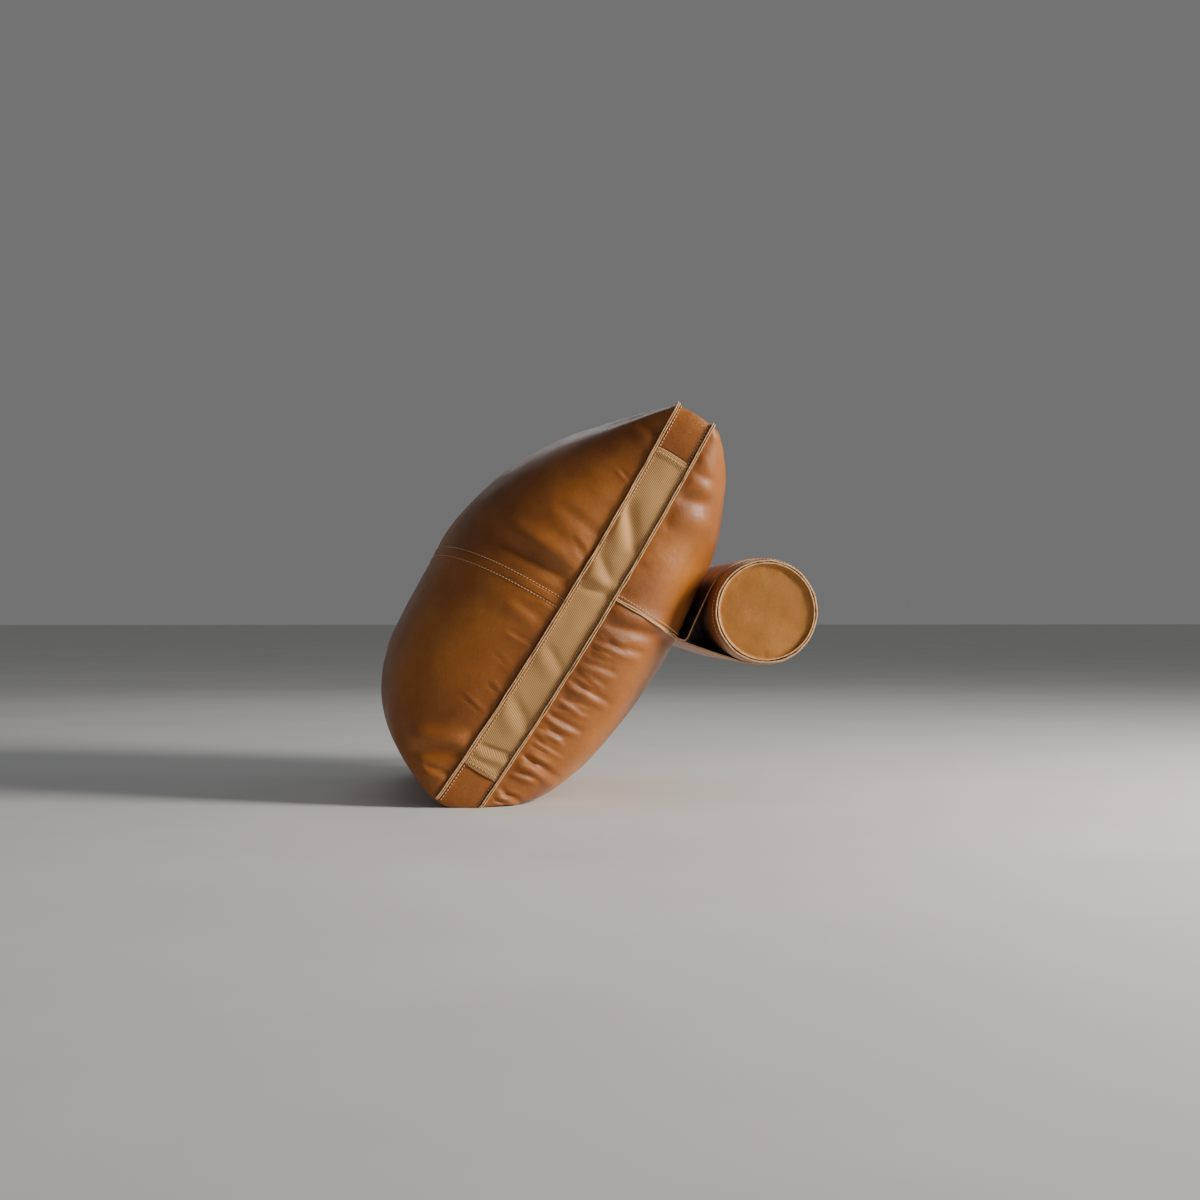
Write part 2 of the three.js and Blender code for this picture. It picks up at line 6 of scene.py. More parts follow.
import bmesh
import bpy
import numpy as np
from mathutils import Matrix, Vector


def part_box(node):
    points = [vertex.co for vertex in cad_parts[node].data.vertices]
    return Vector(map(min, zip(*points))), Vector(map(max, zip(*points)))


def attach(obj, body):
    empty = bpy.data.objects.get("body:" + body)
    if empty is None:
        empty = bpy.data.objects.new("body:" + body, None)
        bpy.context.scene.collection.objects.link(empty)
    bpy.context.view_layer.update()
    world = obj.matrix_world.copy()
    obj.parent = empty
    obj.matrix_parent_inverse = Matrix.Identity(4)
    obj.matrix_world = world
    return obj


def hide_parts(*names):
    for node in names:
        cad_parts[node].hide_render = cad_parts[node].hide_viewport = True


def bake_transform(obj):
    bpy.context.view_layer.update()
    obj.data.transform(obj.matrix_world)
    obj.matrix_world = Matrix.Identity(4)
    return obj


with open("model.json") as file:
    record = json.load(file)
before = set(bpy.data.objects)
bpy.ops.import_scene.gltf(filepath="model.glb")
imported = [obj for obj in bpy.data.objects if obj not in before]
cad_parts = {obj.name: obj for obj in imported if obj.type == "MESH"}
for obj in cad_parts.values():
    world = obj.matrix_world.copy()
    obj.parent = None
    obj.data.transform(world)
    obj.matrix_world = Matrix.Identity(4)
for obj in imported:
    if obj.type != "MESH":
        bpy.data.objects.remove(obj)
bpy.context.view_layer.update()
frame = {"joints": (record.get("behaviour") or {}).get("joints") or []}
joints = {joint["name"]: joint for joint in frame["joints"]}

# ---------- driving values, in metres ----------
HALF = 0.300                     # half the cushion's side, in its own plane
LEAN = math.radians(31.5)        # from upright
EDGE = 0.026                     # half the strip round the edge
FRONT_CROWN = 0.178              # how far each face bulges beyond the strip
BACK_CROWN = 0.110
BOW = 0.009                      # how far the strip's middle bows towards the back
CENTRE_HEIGHT = 0.247            # the cushion's middle above the floor
SIDE_PULL = 0.012                # how far the sides pull in between the corners
CORNER_ROUND = 0.02              # share that each corner is drawn in
FLOOR_SOFTNESS = 0.006           # height over which the form eases onto the floor
FRONT_SAG = -0.032               # how far the fill drags each face along the cushion
BACK_LIFT = 0.006
FRONT_TOP = (2.1, 0.82)          # powers of the profile: see rounded()
FRONT_BELLY = (2.83, 0.45)
BACK_TOP = (2.6, 0.5)
BACK_BELLY = (2.9, 0.73)
ACROSS_PROFILE = (4.7, 0.43)
FRONT_SEAM = 0.0                 # heights of the seams, as a share of HALF
BACK_SEAM = 0.14
CORNER_RETURN = 0.064            # plain leather between a corner and the webbing
WEBBING_END = 1 - CORNER_RETURN / HALF
LEATHER = 0.002                  # thickness
RAW_EDGE = 0.005                 # how far a raw edge stands up
HINGE = Vector(joints["roll_swing"]["pos_m"])
HINGE_STANDOFF = 0.007           # from the back seam to the hinge

roll_low, roll_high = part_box("roll_cover")
ROLL_CENTRE = (roll_low + roll_high) / 2
ROLL_RADIUS = (roll_high.z - roll_low.z) / 2
ROLL_END = roll_high.x
ROLL_RIM = ROLL_RADIUS - 0.0024
SLING_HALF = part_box("sling_wrap")[1].x

WEBBING = 0.0016                 # thickness
ZIP_SLOT = 0.006                 # half the opening between the two webbing strips on the zip side
ZIP_STRAIGHT_AT = 0.180          # height at which the zip's line leaves the cushion's bow
CASE_INSET = 0.006               # from the leather to the inner cushion
TICKING_THICKNESS = 0.0008
CORE_INSET = CASE_INSET + 0.0030
FLANGE_PLY = 0.0017              # each of the two plies that stand up in a seam
FLANGE_HEIGHT = 0.0052
STITCH_PITCH = 0.0046
STITCH_LENGTH = 0.0032
STITCH_RADIUS = 0.00055
STITCH_SINK = 0.00035            # how far a stitch's ends dip into the leather
STITCH_FROM_SEAM = 0.0046
LINE_HEIGHT = 0.0006             # thread above the edge strips
STRIP_SWELL = 0.0014             # how far an edge strip puffs up between its seams
TOOTH_PITCH = 0.0013             # zip teeth, from one row to the other
TOOTH_LENGTH = 0.0034
TOOTH_RADIUS = 0.00062
TOOTH_OFFSET = 0.0007            # of each row, from the zip's middle line
TEETH_END_GAP = 0.002            # from the last tooth to the coil's end
TAPE_DEPTH = LEATHER + 0.0006    # the zip tape's face, below the edge strip's
STRIP_GAP = 0.0004               # between an edge strip and the face beside it
LAP_HALF = 0.0052                # half the width of the lapped seam on the front
HEM = 0.011                      # folded end of the side webbing

ROWS = 281                       # grid over each face
COLUMNS = 181
SLACK = 0.055                    # extra leather beside the seams, as a share of its length
SLACK_REACH = 0.07               # how far from the seams it fades out
CLOTH_FRAMES = 20
MOST_CLOTH_MOVE = 0.007
PUCKER_DEPTH = 0.0013            # gathers along the seams and in the corners
PUCKER_REACH = 0.018
UNEVENNESS = 0.0030              # of the leather between its folds
COLUMN_CROWDING = 2.1            # how closely the grid's lines crowd towards the seams: see crowded()
ROW_CROWDING = 1.7
SEAM_POINTS = 401                # along each seam across a face
PATH_STEP = 0.0035               # between points round the edge
sin_lean = math.sin(LEAN)
cos_lean = math.cos(LEAN)


# ---------- the cushion's surface ----------
def bow_at(up):
    return BOW * (1 - (up / HALF) ** 2)


def place_local(across, up, level):
    out = level + bow_at(up)
    y = up * sin_lean + out * cos_lean
    z = up * cos_lean - out * sin_lean + CENTRE_HEIGHT
    return np.stack([across + 0 * out, y, z], -1)


def outline(a, b, outward=0.0):
    corner = 1 - CORNER_ROUND * (a * a * b * b) ** 10
    width = (HALF - SIDE_PULL * (1 - b**4)) * corner + outward
    height = (HALF - SIDE_PULL * (1 - a**4)) * corner + outward
    return a * width, b * height


def rounded(share, profile):
    return np.clip(1 - share ** profile[0], 0, 1) ** profile[1]


def rise(side, a, up):
    share = np.minimum(1, np.abs(up) / HALF)
    top, belly = (FRONT_TOP, FRONT_BELLY) if side < 0 else (BACK_TOP, BACK_BELLY)
    sag = np.where(up < 0, np.minimum(1, 2 * share), 0)
    profile = [top[i] + (belly[i] - top[i]) * sag for i in (0, 1)]
    crown = FRONT_CROWN if side < 0 else BACK_CROWN
    return crown * rounded(share, profile) * rounded(np.abs(a), ACROSS_PROFILE)


def rest_on_floor(points):
    height = points[..., 2]
    eased = (height + FLOOR_SOFTNESS) ** 2 / (4 * FLOOR_SOFTNESS)
    rested = np.where(height < -FLOOR_SOFTNESS, 0, np.where(height < FLOOR_SOFTNESS, eased, height))
    points[..., 2] = rested
    return points


def face_level(side, a, b):
    """Distance from the middle plane, and how far the fill drags the point along the cushion."""
    drift = (FRONT_SAG if side < 0 else BACK_LIFT) * (1 - a * a) * (1 - b * b)
    return EDGE + rise(side, a, b * HALF + drift), drift


# the CAD's origin is under the middle of everything; the hinge tells how far that is from the cushion's own
seam_level, seam_drift = face_level(1, np.float64(0), np.float64(BACK_SEAM))
seam_up = outline(0, BACK_SEAM)[1] + seam_drift
SHIFT_Y = HINGE.y - place_local(0, seam_up, seam_level + HINGE_STANDOFF)[1]


def place(across, up, level):
    points = place_local(np.asarray(across, float), np.asarray(up, float), np.asarray(level, float))
    points[..., 1] += SHIFT_Y
    return points


# ---------- noise, all in numpy so that the mesh is the same each run ----------
def value_noise(x, y, seed):
    """Smooth lattice noise from -1 to 1."""
    table = np.random.default_rng(seed).uniform(-1, 1, (64, 64))
    xi, yi = np.floor(x).astype(int), np.floor(y).astype(int)
    fx, fy = x - xi, y - yi
    fx, fy = fx * fx * (3 - 2 * fx), fy * fy * (3 - 2 * fy)
    v00, v10 = table[xi % 64, yi % 64], table[(xi + 1) % 64, yi % 64]
    v01, v11 = table[xi % 64, (yi + 1) % 64], table[(xi + 1) % 64, (yi + 1) % 64]
    return (v00 * (1 - fx) + v10 * fx) * (1 - fy) + (v01 * (1 - fx) + v11 * fx) * fy


def fractal(x, y, seed, octaves=3):
    return sum(value_noise(x * 2**i, y * 2**i, seed + i) * 0.5**i for i in range(octaves))


def crease(x, y, start, length, slope, width, depth):
    """A valley that leaves the edge at start = (x, y) and runs inwards, x changing by slope as y grows.
    A soft roll of leather lies beside it: below for a positive width, above for a negative one."""
    direction = np.array([slope, 1.0]) / np.hypot(slope, 1.0)
    along = (x - start[0]) * direction[0] + (y - start[1]) * direction[1]
    off = (x - start[0]) * -direction[1] + (y - start[1]) * direction[0]
    fade = np.clip(1 - np.abs(2 * along / length - 1) ** 3, 0, 1)
    off = off * np.sign(width)
    width = abs(width)
    valley = -np.exp(-((off / width) ** 2))
    roll = 0.9 * np.exp(-(((off - 2.1 * width) / (1.5 * width)) ** 2))
    return depth * fade * (valley + roll)


# ---------- mesh helpers ----------
def unit(vectors):
    return vectors / np.maximum(np.linalg.norm(vectors, axis=-1, keepdims=True), 1e-12)


def line_lengths(points):
    """Distance along a line of points to each of them."""
    return np.concatenate([[0], np.cumsum(np.linalg.norm(np.diff(points, axis=0), axis=1))])


def mesh_object(name, points, faces, material, smooth=True, uv=None):
    """A mesh from arrays. Nothing passes the floor."""
    mesh = bpy.data.meshes.new(name)
    mesh.from_pydata([(p[0], p[1], max(p[2], 0.0)) for p in points], [], faces)
    mesh.polygons.foreach_set("use_smooth", [smooth] * len(mesh.polygons))
    if uv is not None:
        layer = mesh.uv_layers.new(name="UVMap")
        loops = np.zeros(len(mesh.loops), int)
        mesh.loops.foreach_get("vertex_index", loops)
        layer.data.foreach_set("uv", np.asarray(uv, np.float32)[loops].ravel())
    mesh.materials.append(material)
    obj = bpy.data.objects.new(name, mesh)
    bpy.context.scene.collection.objects.link(obj)
    return obj


def grid_faces(rows, cols, start=0, flip=False, wrap=False):
    faces = []
    for r in range(rows if wrap else rows - 1):
        s = (r + 1) % rows
        for c in range(cols - 1):
            near, far = start + r * cols + c, start + s * cols + c
            quad = (near, near + 1, far + 1, far)
            faces.append(quad[::-1] if flip else quad)
    return faces


def strip_solid(name, outer, inner, material, wrap=False, edge_material=None, uv=None):
    """Closed slab between two grids of points, with the cut edges in edge_material."""
    rows, cols = outer.shape[:2]
    count = rows * cols
    points = np.concatenate([outer.reshape(-1, 3), inner.reshape(-1, 3)])
    faces = grid_faces(rows, cols, 0, False, wrap) + grid_faces(rows, cols, count, True, wrap)
    skin = len(faces)
    for r in range(rows if wrap else rows - 1):
        s = (r + 1) % rows
        left, right = r * cols, r * cols + cols - 1
        left_next, right_next = s * cols, s * cols + cols - 1
        faces.append((left, left_next, left_next + count, left + count))
        faces.append((right_next, right, right + count, right_next + count))
    if not wrap:
        last = (rows - 1) * cols
        for c in range(cols - 1):
            faces.append((c + 1, c, c + count, c + 1 + count))
            faces.append((last + c, last + c + 1, last + c + 1 + count, last + c + count))
    uvs = None if uv is None else np.concatenate([uv.reshape(-1, 2)] * 2)
    obj = mesh_object(name, points, faces, material, uv=uvs)
    if edge_material is not None:
        obj.data.materials.append(edge_material)
        for polygon in obj.data.polygons[skin:]:
            polygon.material_index = 1
    for polygon in obj.data.polygons[skin:]:
        polygon.use_smooth = False
    fix_normals(obj)
    return obj


def fix_normals(obj):
    work = bmesh.new()
    work.from_mesh(obj.data)
    bmesh.ops.recalc_face_normals(work, faces=work.faces)
    work.to_mesh(obj.data)
    work.free()


def finish_piece(obj, body, slot, *nodes):
    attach(obj, body)
    if nodes:
        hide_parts(*nodes)
    return obj


# ---------- materials ----------
def node_material(name):
    material = bpy.data.materials.new(name)
    material.use_nodes = True
    tree = material.node_tree
    return material, tree, tree.nodes["Principled BSDF"]


def link(tree, source, target):
    tree.links.new(source, target)


def coordinates(tree, kind="Object"):
    return tree.nodes.new("ShaderNodeTexCoord").outputs[kind]


def noise(tree, vector, scale, detail=3.0, roughness=0.55):
    node = tree.nodes.new("ShaderNodeTexNoise")
    node.inputs["Scale"].default_value = scale
    node.inputs["Detail"].default_value = detail
    node.inputs["Roughness"].default_value = roughness
    link(tree, vector, node.inputs["Vector"])
    return node.outputs["Fac"]


def ramp(tree, factor, stops):
    node = tree.nodes.new("ShaderNodeValToRGB")
    elements = node.color_ramp.elements
    while len(elements) < len(stops):
        elements.new(0.5)
    for element, (position, color) in zip(elements, stops):
        element.position = position
        element.color = (*color, 1) if len(color) == 3 else (color[0], color[0], color[0], 1)
    link(tree, factor, node.inputs["Fac"])
    return node.outputs["Color"]


def maths(tree, operation, first, second=None, third=None):
    node = tree.nodes.new("ShaderNodeMath")
    node.operation = operation
    for i, value in enumerate((first, second, third)):
        if value is None:
            continue
        if isinstance(value, (int, float)):
            node.inputs[i].default_value = value
        else:
            link(tree, value, node.inputs[i])
    return node.outputs[0]


def mix(tree, factor, first, second, blend="MIX"):
    node = tree.nodes.new("ShaderNodeMix")
    node.data_type = "RGBA"
    node.blend_type = blend
    if isinstance(factor, (int, float)):
        node.inputs["Factor"].default_value = factor
    else:
        link(tree, factor, node.inputs["Factor"])
    link(tree, first, node.inputs["A"])
    link(tree, second, node.inputs["B"])
    return node.outputs["Result"]


def bump(tree, height, strength, distance, before=None):
    node = tree.nodes.new("ShaderNodeBump")
    node.inputs["Strength"].default_value = strength
    node.inputs["Distance"].default_value = distance
    link(tree, height, node.inputs["Height"])
    if before is not None:
        link(tree, before, node.inputs["Normal"])
    return node.outputs["Normal"]


def roughen(tree, shader, factor, low, high):
    """Roughness from low to high, as the factor goes from 0.3 to 0.7."""
    link(tree, ramp(tree, factor, [(0.3, (low,)), (0.7, (high,))]), shader.inputs["Roughness"])


def leather_material(name, dark, base, light, roughness, grain):
    """Patchy dyed leather with fine pores over a soft, slightly uneven surface."""
    material, tree, shader = node_material(name)
    where = coordinates(tree)
    patches = noise(tree, where, 7.0, 4.0)
    tone = ramp(tree, patches, [(0.30, dark), (0.52, base), (0.76, light)])
    flecks = ramp(tree, noise(tree, where, 420.0, 2.0), [(0.35, (0.90,)), (0.7, (1.06,))])
    color = mix(tree, 1.0, tone, flecks, "MULTIPLY")
    link(tree, color, shader.inputs["Base Color"])
    wear = noise(tree, where, 22.0, 5.0)
    roughen(tree, shader, wear, roughness - 0.07, roughness + 0.08)
    pebble = tree.nodes.new("ShaderNodeTexVoronoi")
    pebble.feature = "DISTANCE_TO_EDGE"
    pebble.inputs["Scale"].default_value = 620.0
    warp = noise(tree, where, 160.0, 2.0)
    moved = tree.nodes.new("ShaderNodeVectorMath")
    moved.operation = "MULTIPLY_ADD"
    link(tree, warp, moved.inputs[0])
    moved.inputs[1].default_value = (0.002, 0.002, 0.002)
    link(tree, where, moved.inputs[2])
    link(tree, moved.outputs[0], pebble.inputs["Vector"])
    pores = ramp(tree, pebble.outputs["Distance"], [(0.0, (0.0,)), (0.10, (1.0,))])
    soft = bump(tree, noise(tree, where, 34.0, 4.0), 0.25, 0.004)
    link(tree, bump(tree, pores, grain, 0.0004, soft), shader.inputs["Normal"])
    shader.inputs["Specular IOR Level"].default_value = 0.42
    shader.inputs["Sheen Weight"].default_value = 0.03
    shader.inputs["Sheen Roughness"].default_value = 0.45
    return material


def raw_material(name, dark, light):
    """Cut edge of leather: matte, fibrous, with fine layers."""
    material, tree, shader = node_material(name)
    where = coordinates(tree)
    color = ramp(tree, noise(tree, where, 240.0, 6.0, 0.7), [(0.3, dark), (0.68, light)])
    link(tree, color, shader.inputs["Base Color"])
    link(tree, bump(tree, noise(tree, where, 900.0, 3.0), 0.5, 0.0004), shader.inputs["Normal"])
    roughen(tree, shader, noise(tree, where, 60.0), 0.78, 0.92)
    return material


def woven_material(name, dark, base, light, pitch, sheen):
    """Diagonal twill from crossed waves, in the piece's own metres on its UV map."""
    material, tree, shader = node_material(name)
    uv = coordinates(tree, "UV")
    parts = tree.nodes.new("ShaderNodeSeparateXYZ")
    link(tree, uv, parts.inputs[0])
    turn = 2 * math.pi / pitch

    def wave(along_u, along_v):
        total = maths(tree, "ADD", maths(tree, "MULTIPLY", parts.outputs[0], along_u * turn),
                      maths(tree, "MULTIPLY", parts.outputs[1], along_v * turn))
        return maths(tree, "MULTIPLY_ADD", maths(tree, "SINE", total), 0.5, 0.5)

    ribs = maths(tree, "POWER", wave(1.0, 0.5), 0.7)
    yarns = maths(tree, "MULTIPLY_ADD", wave(-1.1, 2.2), 0.35, 0.65)
    weave = maths(tree, "MULTIPLY", ribs, yarns)
    tone = ramp(tree, weave, [(0.05, dark), (0.45, base), (0.95, light)])
    where = coordinates(tree)
    stain = ramp(tree, noise(tree, where, 14.0, 4.0), [(0.3, (0.86,)), (0.7, (1.08,))])
    link(tree, mix(tree, 1.0, tone, stain, "MULTIPLY"), shader.inputs["Base Color"])
    soft = bump(tree, noise(tree, where, 60.0, 3.0), 0.2, 0.002)
    link(tree, bump(tree, weave, 0.6, 0.0004, soft), shader.inputs["Normal"])
    rough = ramp(tree, weave, [(0.0, (0.9,)), (1.0, (0.68,))])
    link(tree, rough, shader.inputs["Roughness"])
    shader.inputs["Sheen Weight"].default_value = sheen
    return material


def thread_material(name, dark, light):
    """Twisted thread."""
    material, tree, shader = node_material(name)
    where = coordinates(tree)
    twist = noise(tree, where, 1400.0, 2.0)
    link(tree, ramp(tree, twist, [(0.3, dark), (0.7, light)]), shader.inputs["Base Color"])
    link(tree, bump(tree, twist, 0.5, 0.0002), shader.inputs["Normal"])
    roughen(tree, shader, noise(tree, where, 90.0), 0.55, 0.7)
    return material


def metal_material(name, dark, light, low, high):
    """Tarnished metal, its roughness from low to high."""
    material, tree, shader = node_material(name)
    where = coordinates(tree)
    tone = ramp(tree, noise(tree, where, 120.0, 5.0), [(0.35, dark), (0.65, light)])
    link(tree, tone, shader.inputs["Base Color"])
    roughen(tree, shader, noise(tree, where, 300.0, 4.0), low, high)
    link(tree, bump(tree, noise(tree, where, 700.0, 2.0), 0.15, 0.0002), shader.inputs["Normal"])
    shader.inputs["Metallic"].default_value = 1.0
    return material


def fill_material(name, dark, light, scale):
    """Matte ticking, tape, foam or fibre, with cells as fine as scale says."""
    material, tree, shader = node_material(name)
    where = coordinates(tree)
    cells = noise(tree, where, scale, 5.0)
    link(tree, ramp(tree, cells, [(0.3, dark), (0.7, light)]), shader.inputs["Base Color"])
    link(tree, bump(tree, cells, 0.6, 0.001), shader.inputs["Normal"])
    roughen(tree, shader, cells, 0.86, 0.97)
    return material


LEATHER_TAN = leather_material("leather_tan", (0.17, 0.049, 0.007), (0.32, 0.102, 0.015),
                               (0.46, 0.162, 0.026), 0.38, 0.35)
LEATHER_DISC = leather_material("leather_disc", (0.36, 0.142, 0.022), (0.46, 0.190, 0.034),
                                (0.56, 0.240, 0.050), 0.46, 0.25)
RAW = raw_material("raw_leather_edge", (0.42, 0.20, 0.075), (0.82, 0.52, 0.27))
# near-black painted shade, for the sides of a standing seam's plies that face each other across the gap
SEAM_GAP_PAINTED_SHADE = raw_material("seam_gap_painted_shade", (0.035, 0.012, 0.004), (0.07, 0.028, 0.01))
TWILL = woven_material("twill_webbing", (0.30, 0.145, 0.042), (0.50, 0.262, 0.088),
                       (0.66, 0.375, 0.145), 0.0025, 0.10)
THREAD = thread_material("stitch_thread", (0.56, 0.34, 0.17), (0.80, 0.56, 0.33))
TICKING = fill_material("ticking", (0.62, 0.57, 0.48), (0.80, 0.76, 0.68), 500.0)
FILL = fill_material("fill", (0.75, 0.70, 0.56), (0.90, 0.86, 0.74), 90.0)
FOAM = fill_material("foam", (0.66, 0.56, 0.32), (0.84, 0.76, 0.52), 700.0)
TAPE = fill_material("zip_tape", (0.05, 0.024, 0.010), (0.10, 0.05, 0.022), 900.0)
BRASS = metal_material("antique_brass", (0.30, 0.19, 0.07), (0.56, 0.40, 0.18), 0.28, 0.42)
STEEL = metal_material("steel_bar", (0.42, 0.43, 0.45), (0.60, 0.61, 0.63), 0.3, 0.5)


# ---------- faces ----------
def packed(count, share):
    """Values from -1 to 1; the larger share is, the closer they lie towards both ends."""
    t = np.linspace(-1, 1, count)
    return share * np.sin(t * math.pi / 2) + (1 - share) * t


def crowded(count, power):
    """Values from -1 to 1 whose spacing shrinks towards the ends as fast as the faces steepen there."""
    t = np.linspace(-1, 1, count)
    return np.sign(t) * (1 - (1 - np.abs(t)) ** power)


columns = crowded(COLUMNS, COLUMN_CROWDING)


def rows_with_seam(seam):
    """The grid's rows, with the nearest one moved onto the seam."""
    rows = crowded(ROWS, ROW_CROWDING)
    rows[np.argmin(np.abs(rows - seam))] = seam
    return rows


def seam_puckers(along, away, seed):
    """Small gathers that run in from a sewn edge and die out."""
    fine = value_noise(along / 0.0105, away / 0.05, seed)
    broad = value_noise(along / 0.023, away / 0.07, seed + 3)
    return PUCKER_DEPTH * (fine + 0.6 * broad) * np.exp(-away / PUCKER_REACH) * np.clip(away / 0.004, 0, 1)


# Folds beside the side strips: height up the cushion, start and length above the strip, slope, width, depth.
BACK_FOLDS = [
    (0.006, 0.002, 0.100, 0.32, -0.0075, 0.0046),
    (-0.018, 0.004, 0.070, 0.30, 0.0042, 0.0026),
    (0.192, 0.000, 0.076, 0.30, 0.0110, 0.0046),
    (0.232, 0.004, 0.050, 0.10, 0.0060, 0.0018),
    (-0.050, 0.000, 0.056, 0.22, 0.0034, 0.0022),
    (-0.077, 0.000, 0.070, 0.02, 0.0036, 0.0028),
    (-0.104, 0.002, 0.046, 0.25, 0.0028, 0.0019),
    (-0.128, 0.000, 0.060, 0.04, 0.0034, 0.0028),
    (-0.150, 0.002, 0.044, 0.20, 0.0028, 0.0020),
    (-0.190, 0.000, 0.078, -0.04, 0.0046, 0.0038),
    (-0.212, 0.002, 0.050, 0.12, 0.0030, 0.0024),
    (-0.240, 0.000, 0.060, -0.06, 0.0036, 0.0026),
]
FRONT_FOLDS = [
    (0.032, 0.000, 0.120, 0.00, -0.0100, 0.0066),
    (-0.030, 0.004, 0.060, 0.10, 0.0060, 0.0016),
    (0.100, 0.000, 0.080, 0.10, 0.0080, 0.0016),
    (-0.222, 0.000, 0.095, -0.48, -0.0080, 0.0058),
    (-0.256, 0.002, 0.050, -0.20, 0.0040, 0.0024),
    (0.250, 0.002, 0.060, 0.05, 0.0060, 0.0016),
]


def small_folds(count, low, high, seed):
    """Short fine creases scattered along a side strip, in the same form as the lists above."""
    draw = np.random.default_rng(seed)
    folds = []
    for _ in range(count):
        width = draw.uniform(0.0016, 0.0026) * draw.choice([-1, 1])
        folds.append((draw.uniform(low, high), draw.uniform(0, 0.014), draw.uniform(0.020, 0.048),
                      draw.uniform(-0.15, 0.45), width, draw.uniform(0.0008, 0.0016)))
    return folds


def relief(side, a, b, up, level):
    """Height of the leather's folds and soft unevenness above the smooth form."""
    height = level - EDGE
    crown = FRONT_CROWN if side < 0 else BACK_CROWN
    side_height = crown * rounded(np.abs(a), ACROSS_PROFILE)
    side_height = 0.4 * side_height + 0.6 * height
    across = a * HALF
    away = np.minimum(height, 0.08)
    seed = 20 if side < 0 else 60
    total = UNEVENNESS * fractal(across / 0.13, up / 0.11, seed, 3) * np.clip(height / 0.03, 0, 1)
    total = total + seam_puckers(np.where(np.abs(a) > np.abs(b), up, across), away, seed + 9)
    folds = FRONT_FOLDS if side < 0 else BACK_FOLDS
    fine = small_folds(10 if side < 0 else 30, -0.26, 0.0 if side > 0 else 0.2, seed + 1)
    for up0, high0, length, slope, width, depth in folds + fine:
        near = crease(up, side_height, (up0, high0), length, slope, width, depth)
        far = crease(up, side_height, (up0 - 0.012, high0), 0.85 * length, slope, width, 0.8 * depth)
        total = total + near * (a > 0.2) + far * (a < -0.2)
    # the leather gathers into each corner
    for end_a in (-1, 1):
        for end_b in (-1, 1):
            reach = np.hypot(1 - end_a * a, 1 - end_b * b)
            angle = np.arctan2(np.maximum(1 - end_b * b, 1e-6), np.maximum(1 - end_a * a, 1e-6))
            gather = np.sin(angle * 9 + end_a * 2 + end_b + seed) * np.exp(-(((reach - 0.2) / 0.1) ** 2))
            total = total + PUCKER_DEPTH * gather
    return total * np.clip(height / 0.010, 0, 1)


CLOTH_SETTINGS = {
    "quality": 6, "mass": 0.4, "tension_stiffness": 40, "compression_stiffness": 40, "shear_stiffness": 12,
    "bending_stiffness": 0.6, "air_damping": 2, "vertex_group_mass": "pin", "pin_stiffness": 1.0,
    "shrink_min": 0.0, "shrink_max": -SLACK, "vertex_group_shrink": "slack",
}
PIN_HOLD = 0.06                  # how softly the leather away from the seams is held to the form


def cloth_folds(points, normal, height, seed):
    """Folds that slack leather takes up beside the seams: a cloth simulation on every second grid point,
    held to the cushion's form by soft pins. Returns the movement along the normal on the full grid."""
    coarse = points[::2, ::2]
    rows, cols = coarse.shape[:2]
    obj = mesh_object("cloth", coarse.reshape(-1, 3), grid_faces(rows, cols), LEATHER_TAN)
    rim = np.zeros((rows, cols), bool)
    rim[[0, -1]] = True
    rim[:, [0, -1]] = True
    slack = np.exp(-((height[::2, ::2] / SLACK_REACH) ** 2))
    patchy = 0.75 + 0.25 * value_noise(coarse[..., 0] / 0.05, coarse[..., 2] / 0.05, seed)
    weights = {"pin": np.where(rim, 1.0, PIN_HOLD), "slack": slack * patchy}
    for group_name, values in weights.items():
        group = obj.vertex_groups.new(name=group_name)
        for index, value in enumerate(values.ravel()):
            group.add([index], float(value), "REPLACE")
    cloth = obj.modifiers.new("cloth", "CLOTH")
    for setting, value in CLOTH_SETTINGS.items():
        setattr(cloth.settings, setting, value)
    cloth.settings.effector_weights.gravity = 0
    cloth.point_cache.frame_start = 1
    cloth.point_cache.frame_end = CLOTH_FRAMES
    for number in range(1, CLOTH_FRAMES + 1):
        bpy.context.scene.frame_set(number)
    moved = obj.evaluated_get(bpy.context.evaluated_depsgraph_get()).data
    flat = np.zeros(3 * len(moved.vertices))
    moved.vertices.foreach_get("co", flat)
    step = ((flat.reshape(coarse.shape) - coarse) * normal[::2, ::2]).sum(-1)
    step = MOST_CLOTH_MOVE * np.tanh(step / MOST_CLOTH_MOVE)
    bpy.data.objects.remove(obj)
    bpy.context.scene.frame_set(1)
    full_rows, full_cols = points.shape[:2]
    at_col = np.arange(full_cols) / 2
    at_row = np.arange(full_rows) / 2
    wide = np.stack([np.interp(at_col, np.arange(cols), row) for row in step])
    return np.stack([np.interp(at_row, np.arange(rows), col) for col in wide.T], -1)


